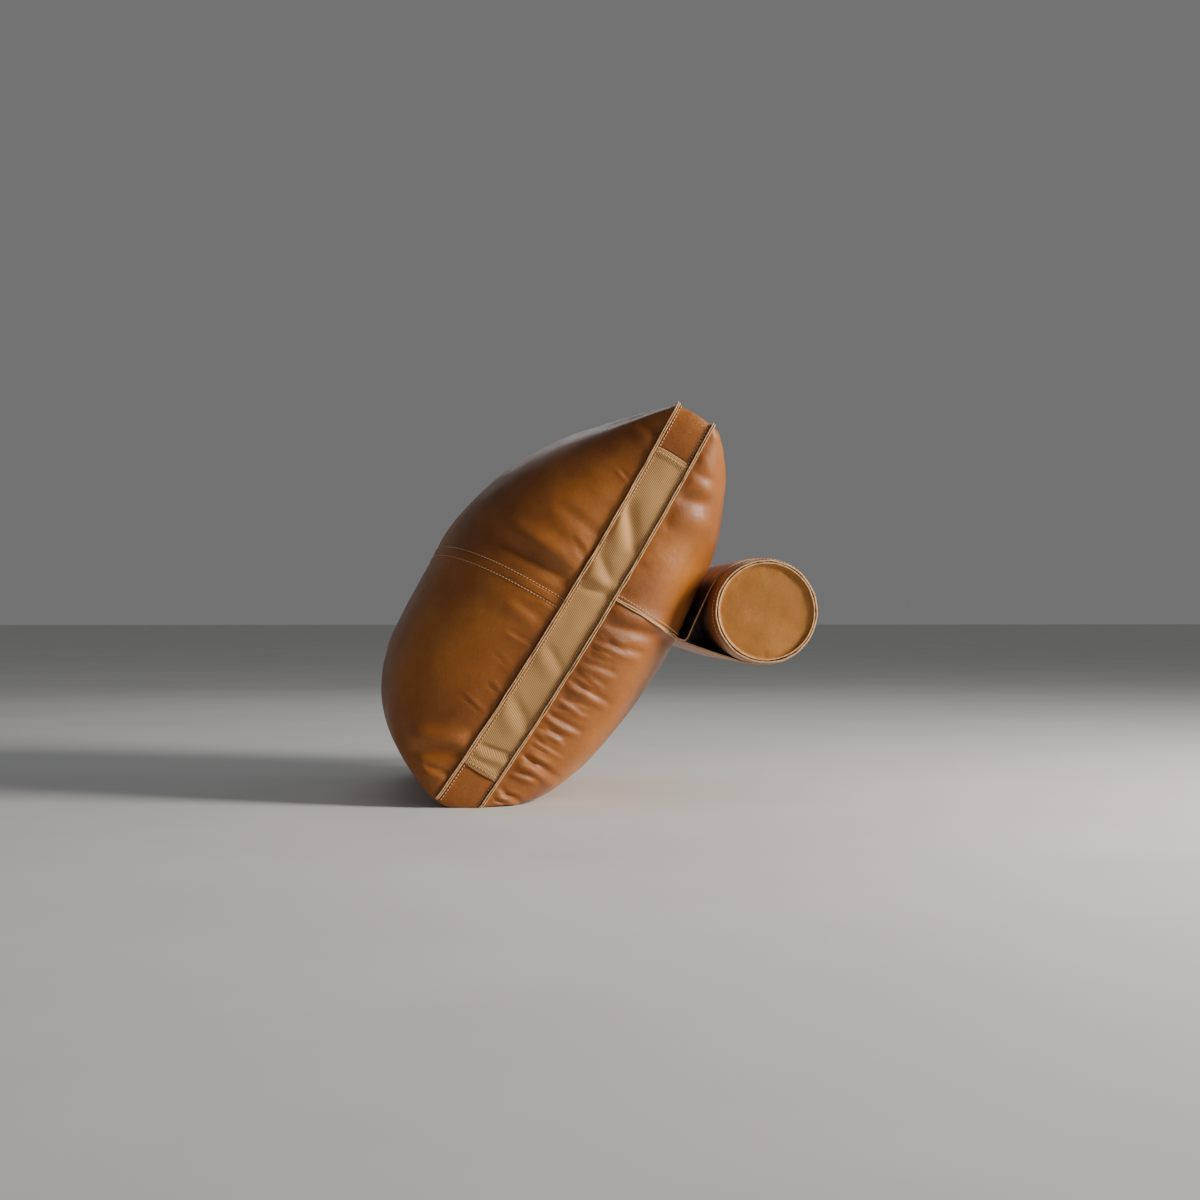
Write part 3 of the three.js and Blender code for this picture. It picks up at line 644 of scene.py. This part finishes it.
class Face:
    """One face of the cushion: a grid of points and normals that other pieces can be laid on."""

    def __init__(self, side, seam):
        self.side = side
        self.rows = rows_with_seam(seam)
        b, a = np.meshgrid(self.rows, columns, indexing="ij")
        across, up = outline(a, b)
        level, drift = face_level(side, a, b)
        smooth = place(across, up + drift, side * level)
        smooth_normal = self.normals(smooth)
        height = relief(side, a, b, up + drift, level)
        height = height + cloth_folds(smooth, smooth_normal, level - EDGE, 11 + side)
        lifted = smooth + smooth_normal * height[..., None]
        self.points = rest_on_floor(lifted)
        self.normal = self.normals(self.points)

    def normals(self, points):
        along_row = np.gradient(points, axis=1)
        along_col = np.gradient(points, axis=0)
        normal = unit(np.cross(along_row, along_col))
        outwards = np.array([0, cos_lean, -sin_lean]) * self.side
        flipped = normal[ROWS // 2, COLUMNS // 2] @ outwards < 0
        return -normal if flipped else normal

    def at(self, a, b, lift=0.0):
        """Points at (a, b) on the face, lifted along its normal, and the normals there."""
        a, b, lift = np.broadcast_arrays(np.asarray(a, float), np.asarray(b, float), np.asarray(lift, float))
        col = np.interp(a, columns, np.arange(COLUMNS))
        row = np.interp(b, self.rows, np.arange(ROWS))
        c0 = np.clip(col.astype(int), 0, COLUMNS - 2)
        r0 = np.clip(row.astype(int), 0, ROWS - 2)
        fc, fr = (col - c0)[..., None], (row - r0)[..., None]

        def sample(grid):
            top = grid[r0, c0] * (1 - fc) + grid[r0, c0 + 1] * fc
            low = grid[r0 + 1, c0] * (1 - fc) + grid[r0 + 1, c0 + 1] * fc
            return top * (1 - fr) + low * fr

        normal = unit(sample(self.normal))
        return sample(self.points) + normal * lift[..., None], normal


front = Face(-1, FRONT_SEAM)
back = Face(1, BACK_SEAM)


def face_panel(name, face, low, high, node):
    keep = np.flatnonzero((face.rows >= low - 1e-9) & (face.rows <= high + 1e-9))
    outer = face.points[keep]
    inner = outer - face.normal[keep] * LEATHER
    obj = strip_solid(name, outer, inner, LEATHER_TAN, edge_material=RAW)
    return finish_piece(obj, "cushion", "leather", node)


def face_panels():
    for side_name, face, seam in (("front", front, FRONT_SEAM), ("back", back, BACK_SEAM)):
        for part, low, high in (("upper", seam, 1), ("lower", -1, seam)):
            face_panel(f"panel_{side_name}_{part}", face, low, high, f"{side_name}_panel_{part}")


# ---------- the strip round the edge ----------
def strip_points(a, b, out, outward):
    across, up = outline(a, b, outward)
    return rest_on_floor(place(across, up, out))


def end_path(end, start, step=PATH_STEP):
    """Path round one end of the cushion (end is 1 for the top): up one side, over, and down the other."""
    climb = np.sin(np.linspace(math.asin(start), math.pi / 2, max(8, int((1 - start) * HALF / step) + 14)))
    over = np.sin(np.linspace(math.pi / 2, -math.pi / 2, int(2 * HALF / step)))[1:-1]
    a = np.concatenate([np.ones_like(climb), over, -np.ones_like(climb)])
    b = np.concatenate([climb, np.ones_like(over), climb[::-1]]) * end
    return a, b


def path_lengths(a, b):
    return line_lengths(strip_points(a, b, np.zeros_like(a), 0.0))


def puff(out, low, high, length, seed, amount):
    """How far a strip swells between its two seams, with soft unevenness along it."""
    middle = 1 - (2 * (out - low) / (high - low) - 1) ** 2
    return middle * (amount + 0.0010 * fractal(length / 0.045, out / 0.04 + 3, seed, 2))


def edge_strip(name, a, b, low, high, thickness, material, slot, node, extra=None, steps=17, seed=5):
    """Slab between two levels along a path; extra(up, out) adds folds."""
    length = path_lengths(a, b)
    share = np.linspace(0, 1, steps)
    out = low[:, None] + (high - low)[:, None] * share
    swell = puff(out, low[:, None], high[:, None], length[:, None], seed, STRIP_SWELL)
    if extra is not None:
        swell = swell + extra(length[:, None] - length[-1] / 2, out) * np.clip(8 * share * (1 - share), 0, 1)
    outer = strip_points(a[:, None], b[:, None], out, swell)
    inner = strip_points(a[:, None], b[:, None], out, swell - thickness)
    uv = np.stack(np.broadcast_arrays(length[:, None], out), -1)
    edge_material = RAW if slot == "leather" else material
    obj = strip_solid(name, outer, inner, material, edge_material=edge_material, uv=uv)
    return finish_piece(obj, "cushion", slot, node)


# Folds in the right-hand webbing: height up the cushion, place across it, length, slope, width, depth.
WEBBING_FOLDS = [
    (0.160, -0.024, 0.072, -1.30, 0.0090, 0.0046),
    (0.084, -0.024, 0.056, -0.80, 0.0070, 0.0022),
    (0.030, -0.026, 0.060, 0.30, -0.0060, 0.0034),
    (-0.052, -0.022, 0.050, -0.50, 0.0070, 0.0018),
    (-0.130, -0.024, 0.056, -0.60, 0.0080, 0.0022),
    (-0.208, -0.026, 0.058, 0.20, 0.0044, 0.0028),
]


def webbing_folds(up, out):
    total = 0 * up * out
    for start, side, length, slope, width, depth in WEBBING_FOLDS:
        total = total + crease(up, out, (start, side), length, slope, width, depth)
    return total


def hem_lift(up):
    """The webbing's ends are folded under, so they stand a little prouder."""
    end = WEBBING_END * HALF - np.abs(up)
    return 0.0012 * np.clip((HEM - end) / 0.001, 0, 1) + 0.0005 * np.exp(-(((end - HEM) / 0.0012) ** 2))


def hemmed_webbing(up, out):
    return hem_lift(up) + 0 * out


def folded_webbing(up, out):
    return webbing_folds(up, out) + hem_lift(up)


def zip_shift(b):
    """Keeps the zip straight although the side it is sewn into bows."""
    return bow_at(ZIP_STRAIGHT_AT) - bow_at(b * HALF)


def edge_strips():
    for end, side_name in ((1, "top"), (-1, "bottom")):
        a, b = end_path(end, WEBBING_END)
        edge = np.full(len(a), EDGE - STRIP_GAP)
        edge_strip("gusset_" + side_name + "_leather", a, b, -edge, edge, LEATHER, LEATHER_TAN, "leather",
                   "gusset_" + side_name, seed=5 + end)
    b = np.linspace(-WEBBING_END + 0.0015, WEBBING_END - 0.0015, 361)
    edge = np.full(len(b), EDGE - STRIP_GAP)
    shift = zip_shift(b)
    for name, side, low, high, extra, steps in (
        ("right", 1.0, -edge, edge, folded_webbing, 25),
        ("left_front", -1.0, -edge, shift - ZIP_SLOT, hemmed_webbing, 13),
        ("left_back", -1.0, shift + ZIP_SLOT, edge, hemmed_webbing, 13),
    ):
        edge_strip("webbing_" + name, np.full(len(b), side), b, low, high, WEBBING, TWILL, "webbing",
                   "side_webbing_" + name, extra, steps)


# ---------- seams and stitches ----------
def standing_seam(name, base, outward, across, height, body, node=None):
    """Two plies of leather standing side by side out of a seam, with raw tips; the sides that face each other
    are painted near-black as shade in the gap between.
    """
    count = len(base)
    length = line_lengths(base)
    points, faces, kinds = [], [], []
    for ply, seed in ((-1, 31), (1, 37)):
        waver = 0.00045 * value_noise(length / 0.016, 0 * length, seed)
        tall = height * (1 + 0.13 * value_noise(length / 0.011, 0 * length + 5, seed))
        middle = ply * (FLANGE_PLY / 2 + 0.0003) + waver
        half = FLANGE_PLY / 2
        section = [(-0.0016, -half), (tall - 0.0004, -half), (tall, -half * 0.5), (tall, half * 0.5),
                   (tall - 0.0004, half), (-0.0016, half)]
        start = len(points) * count
        for high, side in section:
            high = np.broadcast_to(high, (count,))
            points.append(base + outward * high[:, None] + across * (middle + side)[:, None])
        size = len(section)
        for k in range(size):
            n = (k + 1) % size
            # a ply's side that faces the other ply takes the third material: painted near-black shade in the
            # gap between them
            inward = (k == 4 and ply < 0) or (k == 0 and ply > 0)
            kind = 1 if k in (1, 2, 3) else (2 if inward else 0)
            for i in range(count - 1):
                faces.append((start + k * count + i, start + n * count + i,
                              start + n * count + i + 1, start + k * count + i + 1))
                kinds.append(kind)
        for i in (0, count - 1):
            faces.append(tuple(start + k * count + i for k in range(size)))
            kinds.append(1)
    obj = mesh_object(name, np.concatenate(points), faces, LEATHER_TAN)
    for material in (RAW, SEAM_GAP_PAINTED_SHADE):
        obj.data.materials.append(material)
    obj.data.polygons.foreach_set("material_index", kinds)
    fix_normals(obj)
    return finish_piece(obj, body, "raw_edge", *([node] if node else []))


# a rounded bar's rings: place along its length, share of its radius
CAPSULE = [(-0.5, 0.0), (-0.46, 0.55), (-0.34, 0.95), (0.0, 1.08), (0.34, 0.95), (0.46, 0.55), (0.5, 0.0)]
CAPSULE_SIDES = 8


def capsules(name, middles, forward, up, length, radius, sink, material):
    """Short rounded bars along forward, whose ends are lowered by sink."""
    side = unit(np.cross(up, forward))
    up = np.cross(forward, side)
    turn = np.arange(CAPSULE_SIDES) * 2 * math.pi / CAPSULE_SIDES
    spoke = side[:, None, :] * np.cos(turn)[:, None] + up[:, None, :] * np.sin(turn)[:, None]
    rings = []
    for along, share in CAPSULE:
        centre = middles + forward * along * length - up * sink * (2 * along) ** 2
        rings.append(centre[:, None, :] + spoke * radius * share)
    points = np.stack(rings, 1)
    per_bar = len(CAPSULE) * CAPSULE_SIDES
    faces = []
    for start in range(0, len(middles) * per_bar, per_bar):
        for r in range(len(CAPSULE) - 1):
            for k in range(CAPSULE_SIDES):
                n = (k + 1) % CAPSULE_SIDES
                low = start + r * CAPSULE_SIDES
                faces.append((low + k, low + n, low + n + CAPSULE_SIDES, low + k + CAPSULE_SIDES))
    obj = mesh_object(name, points.reshape(-1, 3), faces, material)
    merge_and_fix(obj)
    return obj


def along_line(values, length, places):
    return np.stack([np.interp(places, length, values[:, i]) for i in range(3)], -1)


def stitches(name, points, normals, body, slot="leather", closed=False, gap=None):
    """A row of thread stitches along a line of points that lies on a surface, with none inside the gap."""
    if closed:
        points, normals = np.concatenate([points, points[:1]]), np.concatenate([normals, normals[:1]])
    length = line_lengths(points)
    count = int(length[-1] / STITCH_PITCH)
    places = (np.arange(count) + 0.5) * length[-1] / count
    if gap is not None:
        places = places[(places < gap[0] - STITCH_LENGTH / 2) | (places > gap[1] + STITCH_LENGTH / 2)]
    ahead = along_line(points, length, places + STITCH_LENGTH / 2)
    behind = along_line(points, length, places - STITCH_LENGTH / 2)
    middles = along_line(points, length, places)
    up = unit(along_line(normals, length, places))
    obj = capsules(name, middles, unit(ahead - behind), up, STITCH_LENGTH, STITCH_RADIUS, STITCH_SINK, THREAD)
    return finish_piece(obj, body, slot)


def zip_teeth():
    """The zip's two rows of teeth, meshed along its middle line and lying on its tape."""
    low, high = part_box("zip_coil")
    end = (high.z - low.z) / cos_lean / 2 - TEETH_END_GAP
    up = np.arange(-end, end, TOOTH_PITCH)
    b = up / HALF
    side = np.where(np.arange(len(up)) % 2, 1.0, -1.0)
    level = zip_shift(b) + side * TOOTH_OFFSET
    middles = strip_points(-np.ones_like(b), b, level, TOOTH_RADIUS - TAPE_DEPTH)
    forward = np.broadcast_to(np.array([0, cos_lean, -sin_lean]), middles.shape)
    outward = np.broadcast_to(np.array([-1.0, 0, 0]), middles.shape)
    obj = capsules("zip_teeth", middles, forward, outward, TOOTH_LENGTH, TOOTH_RADIUS, 0.0, BRASS)
    finish_piece(obj, "cushion", "zip_metal", "zip_coil")


def ring_path(start):
    """The line of the raised seams: up one side from start, over the top and down the other."""
    sides = np.linspace(start, WEBBING_END, int((WEBBING_END - start) * HALF / PATH_STEP))[:-1]
    a_top, b_top = end_path(1, WEBBING_END)
    a = np.concatenate([np.ones_like(sides), a_top, -np.ones_like(sides)])
    b = np.concatenate([sides, b_top, sides[::-1]])
    return a, b


def edge_seams():
    a, b = ring_path(-0.985)
    length = path_lengths(a, b)
    across = np.broadcast_to(np.array([0, cos_lean, -sin_lean]), (len(a), 3))
    inner = strip_points(a, b, np.zeros_like(a), 0.0)
    outward = unit(strip_points(a, b, np.zeros_like(a), 0.002) - inner)
    for side, side_name in ((-1, "front"), (1, "back")):
        level = np.full(len(a), side * EDGE)
        base = strip_points(a, b, level, 0.0)
        standing_seam("seam_" + side_name + "_raw_edge", base, outward, across, FLANGE_HEIGHT, "cushion",
                      "raw_edge_" + side_name)
        level = np.full(len(a), side * (EDGE - STITCH_FROM_SEAM))
        raised = LINE_HEIGHT + puff(level, -EDGE, EDGE, length, 5, STRIP_SWELL)
        line = strip_points(a, b, level, raised)
        stitches("stitches_" + side_name + "_edge", line, outward, "cushion")


def hem_seams():
    """Where the side webbing's folded end meets the plain leather."""
    out = np.linspace(-EDGE + 0.005, EDGE - 0.005, 24)
    for side in (-1, 1):
        for end in (-1, 1):
            b = end * (WEBBING_END - 0.0075 / HALF)
            line = strip_points(np.full(len(out), float(side)), b, out, 0.0036)
            slot_middle = zip_shift(b) - out[0]
            gap = None if side > 0 else (slot_middle - ZIP_SLOT, slot_middle + ZIP_SLOT)
            name = "stitches_hem_" + ("right" if side > 0 else "left") + ("_top" if end > 0 else "_bottom")
            normals = np.broadcast_to(np.array([float(side), 0, 0]), line.shape)
            stitches(name, line, normals, "cushion", "webbing", gap=gap)


def front_seam():
    """The front's lapped seam: a folded band of leather with a row of stitches along each side."""
    a = crowded(SEAM_POINTS, COLUMN_CROWDING)
    share = np.linspace(-1, 1, 11)
    lift = 0.0008 * np.clip(1 - np.abs(share) ** 6, 0, 1)
    drop = FRONT_SEAM + share * LAP_HALF / HALF
    outer = front.at(a[:, None], drop[None, :], lift[None, :] + 0.0001)[0]
    inner = front.at(a[:, None], drop[None, :], -0.0008)[0]
    lap = strip_solid("front_seam_lap", outer, inner, LEATHER_TAN)
    finish_piece(lap, "cushion", "leather")
    for row, row_name in ((-1, "lower"), (1, "upper")):
        b = FRONT_SEAM + row * (LAP_HALF + 0.0014) / HALF
        line, normal = front.at(a, np.full_like(a, b), 0.0005)
        stitches("stitches_front_" + row_name, line, normal, "cushion")


def back_seam():
    a = crowded(SEAM_POINTS, COLUMN_CROWDING)
    b = np.full_like(a, BACK_SEAM)
    base, normal = back.at(a, b, -0.0012)
    above = back.at(a, b + 0.006, -0.0012)[0]
    across = unit(above - base)
    standing_seam("back_seam_raw_edge", base, normal, across, 0.0036, "cushion")
    line, line_normal = back.at(a, b + 0.0060 / HALF, 0.0004)
    stitches("stitches_back_seam", line, line_normal, "cushion")


# ---------- sling ----------
def sling():
    """One strip of leather: out of the back seam, round the roll and back into the same seam."""
    direction = unit(np.array([0, ROLL_CENTRE.y - HINGE.y, ROLL_CENTRE.z - HINGE.z]))
    reach = math.hypot(ROLL_CENTRE.y - HINGE.y, ROLL_CENTRE.z - HINGE.z)
    hinge = np.array(HINGE)
    centre = np.array(ROLL_CENTRE)
    middle_radius = ROLL_RADIUS + 0.0018     # of the sling's middle line round the roll
    span = math.acos(middle_radius / reach)
    to_hinge = math.atan2(-direction[2], -direction[1])
    x = np.linspace(-SLING_HALF, SLING_HALF, 121)
    foot = back.at(x / outline(1, BACK_SEAM)[0], np.full_like(x, BACK_SEAM), 0.0)[0]
    upward = np.array([0, sin_lean, cos_lean])
    pinch = 0.0011                           # half the distance between the tails in the seam

    def spread_x(point):
        return np.stack([x, np.full_like(x, point[1]), np.full_like(x, point[2])], -1)

    def line(start, end, count):
        t = np.linspace(0, 1, count, endpoint=False)[:, None, None]
        return start[None] * (1 - t) + end[None] * t

    def on_circle(angle):
        return centre + middle_radius * np.array([0, math.cos(angle), math.sin(angle)])

    angles = np.linspace(to_hinge - span, to_hinge - 2 * math.pi + span, 90)
    arc = np.stack([spread_x(on_circle(angle)) for angle in angles])
    rows = np.concatenate([
        line(foot + upward * pinch, spread_x(hinge + upward * pinch), 8),
        line(spread_x(hinge + upward * pinch), arc[0], 26),
        arc,
        line(arc[-1], spread_x(hinge - upward * pinch), 26)[1:],
        line(spread_x(hinge - upward * pinch), foot - upward * pinch, 8),
        (foot - upward * pinch)[None],
    ])
    # ease the bend where the two tails part
    for _ in range(6):
        rows[1:-1] = rows[1:-1] * 0.5 + (rows[:-2] + rows[2:]) * 0.25
    normal = unit(np.cross(np.gradient(rows, axis=0), np.gradient(rows, axis=1)))
    if normal[len(rows) // 2, 60] @ (rows[len(rows) // 2, 60] - centre) < 0:
        normal = -normal
    from_hinge = np.linalg.norm(rows - hinge * np.array([0, 1, 1]) - rows * np.array([1, 0, 0]), axis=-1)
    gather = value_noise(rows[..., 0] / 0.016, from_hinge / 0.06, 91) * np.exp(-from_hinge / 0.03)
    soft = fractal(rows[..., 0] / 0.09, np.arange(len(rows))[:, None] / 22, 93, 2)
    lift = (0.0007 * gather + 0.0005 * soft * np.clip(from_hinge / 0.03, 0, 1))[..., None] * normal
    outer = rows + lift + normal * 0.0008
    inner = rows + lift - normal * 0.0008
    obj = strip_solid("sling_leather", outer, inner, LEATHER_TAN, edge_material=RAW)
    finish_piece(obj, "cushion", "leather", "sling_wrap", "sling_tails")
    obj.parent = None
    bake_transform(obj)
    return obj


# ---------- roll ----------
def lathe(name, profile, material, raw=(), relief_at=None, turns=144):
    """Closed solid turned about the roll's axis. profile is a closed loop of (x, radius)."""
    angle = np.arange(turns) * 2 * math.pi / turns
    profile = np.array(profile, float)
    x = np.repeat(profile[:, :1], turns, 1)
    radius = np.repeat(profile[:, 1:], turns, 1)
    if relief_at is not None:
        more_x, more_radius = relief_at(x, radius, angle[None, :])
        x, radius = x + more_x, radius + more_radius
    points = np.stack([x, ROLL_CENTRE.y + radius * np.cos(angle), ROLL_CENTRE.z + radius * np.sin(angle)], -1)
    size = len(profile)
    faces, kinds = [], []
    for r in range(size):
        s = (r + 1) % size
        if profile[r, 1] == 0 and profile[s, 1] == 0:
            continue
        for k in range(turns):
            n = (k + 1) % turns
            faces.append((r * turns + k, r * turns + n, s * turns + n, s * turns + k))
            kinds.append(1 if r in raw else 0)
    obj = mesh_object(name, points.reshape(-1, 3), faces, material)
    obj.data.materials.append(RAW)
    obj.data.polygons.foreach_set("material_index", kinds)
    merge_and_fix(obj)
    return obj


def merge_and_fix(obj):
    work = bmesh.new()
    work.from_mesh(obj.data)
    bmesh.ops.remove_doubles(work, verts=work.verts, dist=1e-6)
    bmesh.ops.recalc_face_normals(work, faces=work.faces)
    work.to_mesh(obj.data)
    work.free()


def cover_relief(x, radius, angle):
    """Soft dents along the tube, gathers at its ends, and a slightly uneven rim."""
    from_end = ROLL_END - np.abs(x)
    around = angle * ROLL_RADIUS
    on_rim = np.clip(1 - from_end / 0.008, 0, 1)
    dents = 0.0008 * fractal(x / 0.11, around / 0.07, 71, 3) * np.clip(from_end / 0.02, 0, 1)
    gathers = 0.0005 * value_noise(around / 0.011, from_end / 0.05, 75) * np.exp(-from_end / 0.02)
    rim = 0.0004 * value_noise(around / 0.02 + 7, 0 * x, 77) * on_rim
    tip = 0.0005 * value_noise(around / 0.012, 0 * x + 2, 79) * on_rim * np.sign(x)
    return tip, dents + gathers + rim


def roll_cover():
    face = ROLL_END - RAW_EDGE
    tube = np.linspace(0, face - 0.008, 60)
    outer = [(x, ROLL_RADIUS) for x in tube] + [
        (face - 0.005, ROLL_RADIUS - 0.0002),
        (face - 0.0028, ROLL_RADIUS - 0.0008),
        (face - 0.0008, ROLL_RIM + 0.0011),
        (ROLL_END - 0.0005, ROLL_RIM + 0.0010),
        (ROLL_END, ROLL_RIM + 0.0006),
        (ROLL_END, ROLL_RIM - 0.0006),
        (ROLL_END - 0.0005, ROLL_RIM - 0.0010),
        (face - 0.004, ROLL_RIM - 0.0010),
        (face - 0.007, ROLL_RADIUS - LEATHER),
    ]
    inner = [(x, ROLL_RADIUS - LEATHER) for x in tube[::-1][1:]]
    half = outer + inner[:-1]
    mirrored = [(-x, r) for x, r in outer[1:]][::-1]
    inner_mirrored = [(-x, r) for x, r in inner[::-1]]
    loop = outer + inner + inner_mirrored[1:] + mirrored
    first = len(tube) + 3
    last = len(loop) - 1
    raw = {first, first + 1, first + 2, first + 3}
    raw |= {last - k for k in (first, first + 1, first + 2, first + 3)}
    cover = lathe("roll_cover_leather", loop, LEATHER_TAN, raw, cover_relief)
    finish_piece(cover, "roll", "leather", "roll_cover")


def roll_discs():
    face = ROLL_END - RAW_EDGE
    rim = ROLL_RIM - 0.0021
    for side, side_name in ((1, "right"), (-1, "left")):
        steps = np.linspace(0, 1, 34)
        dish = [(face + 0.0012 * (1 - t**4), (rim - 0.0052) * t) for t in steps]
        loop = dish + [
            (face + 0.0000, rim - 0.0034),
            (face + 0.0010, rim - 0.0022),
            (ROLL_END - 0.0004, rim - 0.0020),
            (ROLL_END, rim - 0.0016),
            (ROLL_END, rim - 0.0004),
            (ROLL_END - 0.0004, rim - 0.0002),
            (face - 0.0020, rim - 0.0002),
            (face - 0.0020, 0.0),
        ]
        raw = {len(dish) + 2, len(dish) + 3, len(dish) + 4}

        def disc_relief(x, radius, angle, side=side):
            y, z = radius * np.cos(angle), radius * np.sin(angle)
            flat = np.clip((rim - 0.004 - radius) / 0.01, 0, 1) * (np.abs(x) > face - 0.001)
            dents = 0.0009 * fractal(y / 0.035 + 3, z / 0.035 + side, 81, 2) * flat
            puckers = 0.0005 * value_noise(angle * rim / 0.009, radius / 0.03, 83)
            near_rim = np.exp(-(((rim - 0.008 - radius) / 0.005) ** 2)) * (np.abs(x) > face - 0.001)
            tip = 0.0005 * value_noise(angle * rim / 0.013, 0 * x, 85) * (np.abs(x) > ROLL_END - 0.001)
            waver = 0.0003 * value_noise(angle * rim / 0.018, 0 * x, 87) * (radius > rim - 0.003)
            return side * (dents + puckers * near_rim + tip), waver

        facing = [(side * x, r) for x, r in loop]
        disc = lathe("roll_disc_" + side_name, facing, LEATHER_DISC, raw, disc_relief)
        finish_piece(disc, "roll", "leather", "roll_end_" + side_name)
        turn = np.linspace(0, 2 * math.pi, 200, endpoint=False)
        normal = np.stack([0 * turn, np.cos(turn), np.sin(turn)], -1)
        middle = np.array([side * (face - 0.0095), ROLL_CENTRE.y, ROLL_CENTRE.z])
        ring = middle + normal * (ROLL_RADIUS + 0.0004)
        stitches("stitches_roll_" + side_name, ring, normal, "roll", closed=True)


def roll_inside():
    """Foam and the steel bar that gives the roll its weight."""
    foam_end = ROLL_END - RAW_EDGE - LEATHER - 0.0008
    foam_radius = ROLL_RIM - 0.0016
    bar_low, bar_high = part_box("roll_weight_bar")
    bar_radius = (bar_high.z - bar_low.z) / 2
    bore = bar_radius + 0.0004
    line = np.linspace(-foam_end, foam_end, 60)
    loop = [(x, foam_radius - 0.0008) for x in line] + [(x, bore) for x in line[::-1]]

    def cells(x, radius, angle):
        return 0 * x, 0.0006 * value_noise(x / 0.006, angle * radius / 0.006, 95) * (radius > 2 * bore)

    finish_piece(lathe("roll_foam_tube", loop, FOAM, (), cells), "roll", "foam", "roll_foam")
    chamfer = 0.0015
    end = bar_high.x
    loop = [(-end, 0), (-end, bar_radius - chamfer), (-end + chamfer, bar_radius),
            (end - chamfer, bar_radius), (end, bar_radius - chamfer), (end, 0)]
    finish_piece(lathe("roll_steel_bar", loop, STEEL, (), None, 64), "roll", "steel", "roll_weight_bar")


# ---------- inner cushion ----------
def inner_grid(side, inset, seed):
    """Points of the knife-edged inner cushion, which meets in the middle plane at its rim."""
    rows = packed(121, 0.8)
    b, a = np.meshgrid(rows, packed(121, 0.8), indexing="ij")
    across, up = outline(a, b, -inset)
    level, drift = face_level(side, a, b)
    fade = (1 - a**12) * (1 - b**12)
    creased = 0.0016 * fractal(across / 0.05, up / 0.05, seed, 3) * fade
    out = 0.0004 + CORE_INSET - inset + (level - CORE_INSET - 0.003) * fade + creased
    rim = np.maximum(np.abs(a), np.abs(b)) == 1
    out = np.where(rim, 0.0002, np.maximum(out, 0.0003))
    points = place(across, up + drift, side * out)
    points[..., 2] -= inset
    points = rest_on_floor(points)
    points[..., 2] += inset
    return points


def inner_cushion():
    for side, side_name in ((-1, "front"), (1, "back")):
        outer = inner_grid(side, CASE_INSET, 41)
        inner = inner_grid(side, CASE_INSET + TICKING_THICKNESS, 41)
        case = strip_solid("ticking_" + side_name, outer, inner, TICKING)
        finish_piece(case, "cushion", "ticking", "inner_case_" + side_name)
    halves = [inner_grid(side, CORE_INSET + TICKING_THICKNESS, 47) for side in (1, -1)]
    core = strip_solid("fibre_fill", *halves, FILL)
    finish_piece(core, "cushion", "fill", "fill_core")


# ---------- camera, light and floor ----------
def aim(obj, target):
    direction = Vector(target) - obj.location
    obj.rotation_euler = direction.to_track_quat("-Z", "Y").to_euler()


def area_light(name, location, target, size, power, color):
    data = bpy.data.lights.new(name, "AREA")
    data.shape = "RECTANGLE"
    data.size, data.size_y = size
    data.energy = power
    data.color = color
    obj = bpy.data.objects.new(name, data)
    bpy.context.scene.collection.objects.link(obj)
    obj.location = location
    aim(obj, target)
    return obj


CAMERA_PLACE = Vector((2.776, -0.199, 0.250))
CAMERA_YAW = math.radians(4.5)
CAMERA_PITCH = 0.005
CAMERA_LENS = 58.7               # millimetres, on a sensor of SENSOR_WIDTH
SENSOR_WIDTH = 36
LIGHT_TARGET = (0, 0.02, 0.25)
WORLD_COLOR = (0.84, 0.85, 0.84, 1)
WORLD_STRENGTH = 0.20
FLOOR_HALF = 30
FLOOR_DROP = 0.0005              # keeps the floor just clear of the cushion's flat underside


def stage():
    data = bpy.data.cameras.new("camera")
    data.sensor_width = SENSOR_WIDTH
    data.lens = CAMERA_LENS
    camera = bpy.data.objects.new("camera", data)
    bpy.context.scene.collection.objects.link(camera)
    camera.location = CAMERA_PLACE
    forward = Vector((-math.cos(CAMERA_YAW), math.sin(CAMERA_YAW), math.sin(CAMERA_PITCH)))
    camera.rotation_euler = forward.to_track_quat("-Z", "Y").to_euler()
    bpy.context.scene.camera = camera

    material, tree, shader = node_material("pale_floor")
    patches = noise(tree, coordinates(tree), 3.0)
    tone = ramp(tree, patches, [(0.3, (0.66, 0.66, 0.65)), (0.7, (0.71, 0.71, 0.70))])
    link(tree, tone, shader.inputs["Base Color"])
    shader.inputs["Roughness"].default_value = 0.85
    corners = [(x * FLOOR_HALF, y * FLOOR_HALF, 0) for x, y in ((-1, -1), (1, -1), (1, 1), (-1, 1))]
    floor = mesh_object("floor", corners, [(0, 1, 2, 3)], material, False)
    floor.location.z = -FLOOR_DROP

    area_light("key", (1.15, 2.6, 1.25), LIGHT_TARGET, (1.0, 1.0), 165, (1.0, 0.94, 0.85))
    area_light("window_back", (-2.4, -0.2, 1.9), LIGHT_TARGET, (1.2, 1.2), 7, (0.90, 0.95, 1.0))
    world = bpy.data.worlds.new("studio")
    world.use_nodes = True
    background = world.node_tree.nodes["Background"]
    background.inputs["Color"].default_value = WORLD_COLOR
    background.inputs["Strength"].default_value = WORLD_STRENGTH
    bpy.context.scene.world = world


stage()
face_panels()
edge_strips()
edge_seams()
hem_seams()
front_seam()
back_seam()
roll_cover()
roll_discs()
roll_inside()
sling()
inner_cushion()
zip_teeth()

# CAD nodes that keep their shape and take a material
SHOWN_NODES = {
    "zip_tape_front": TAPE, "zip_tape_back": TAPE,
    "zip_stop_top": BRASS, "zip_stop_bottom": BRASS, "zip_slider": BRASS, "zip_pull": BRASS,
}
for node_name, material in SHOWN_NODES.items():
    mesh = bpy.data.objects[node_name].data
    mesh.materials.clear()
    mesh.materials.append(material)
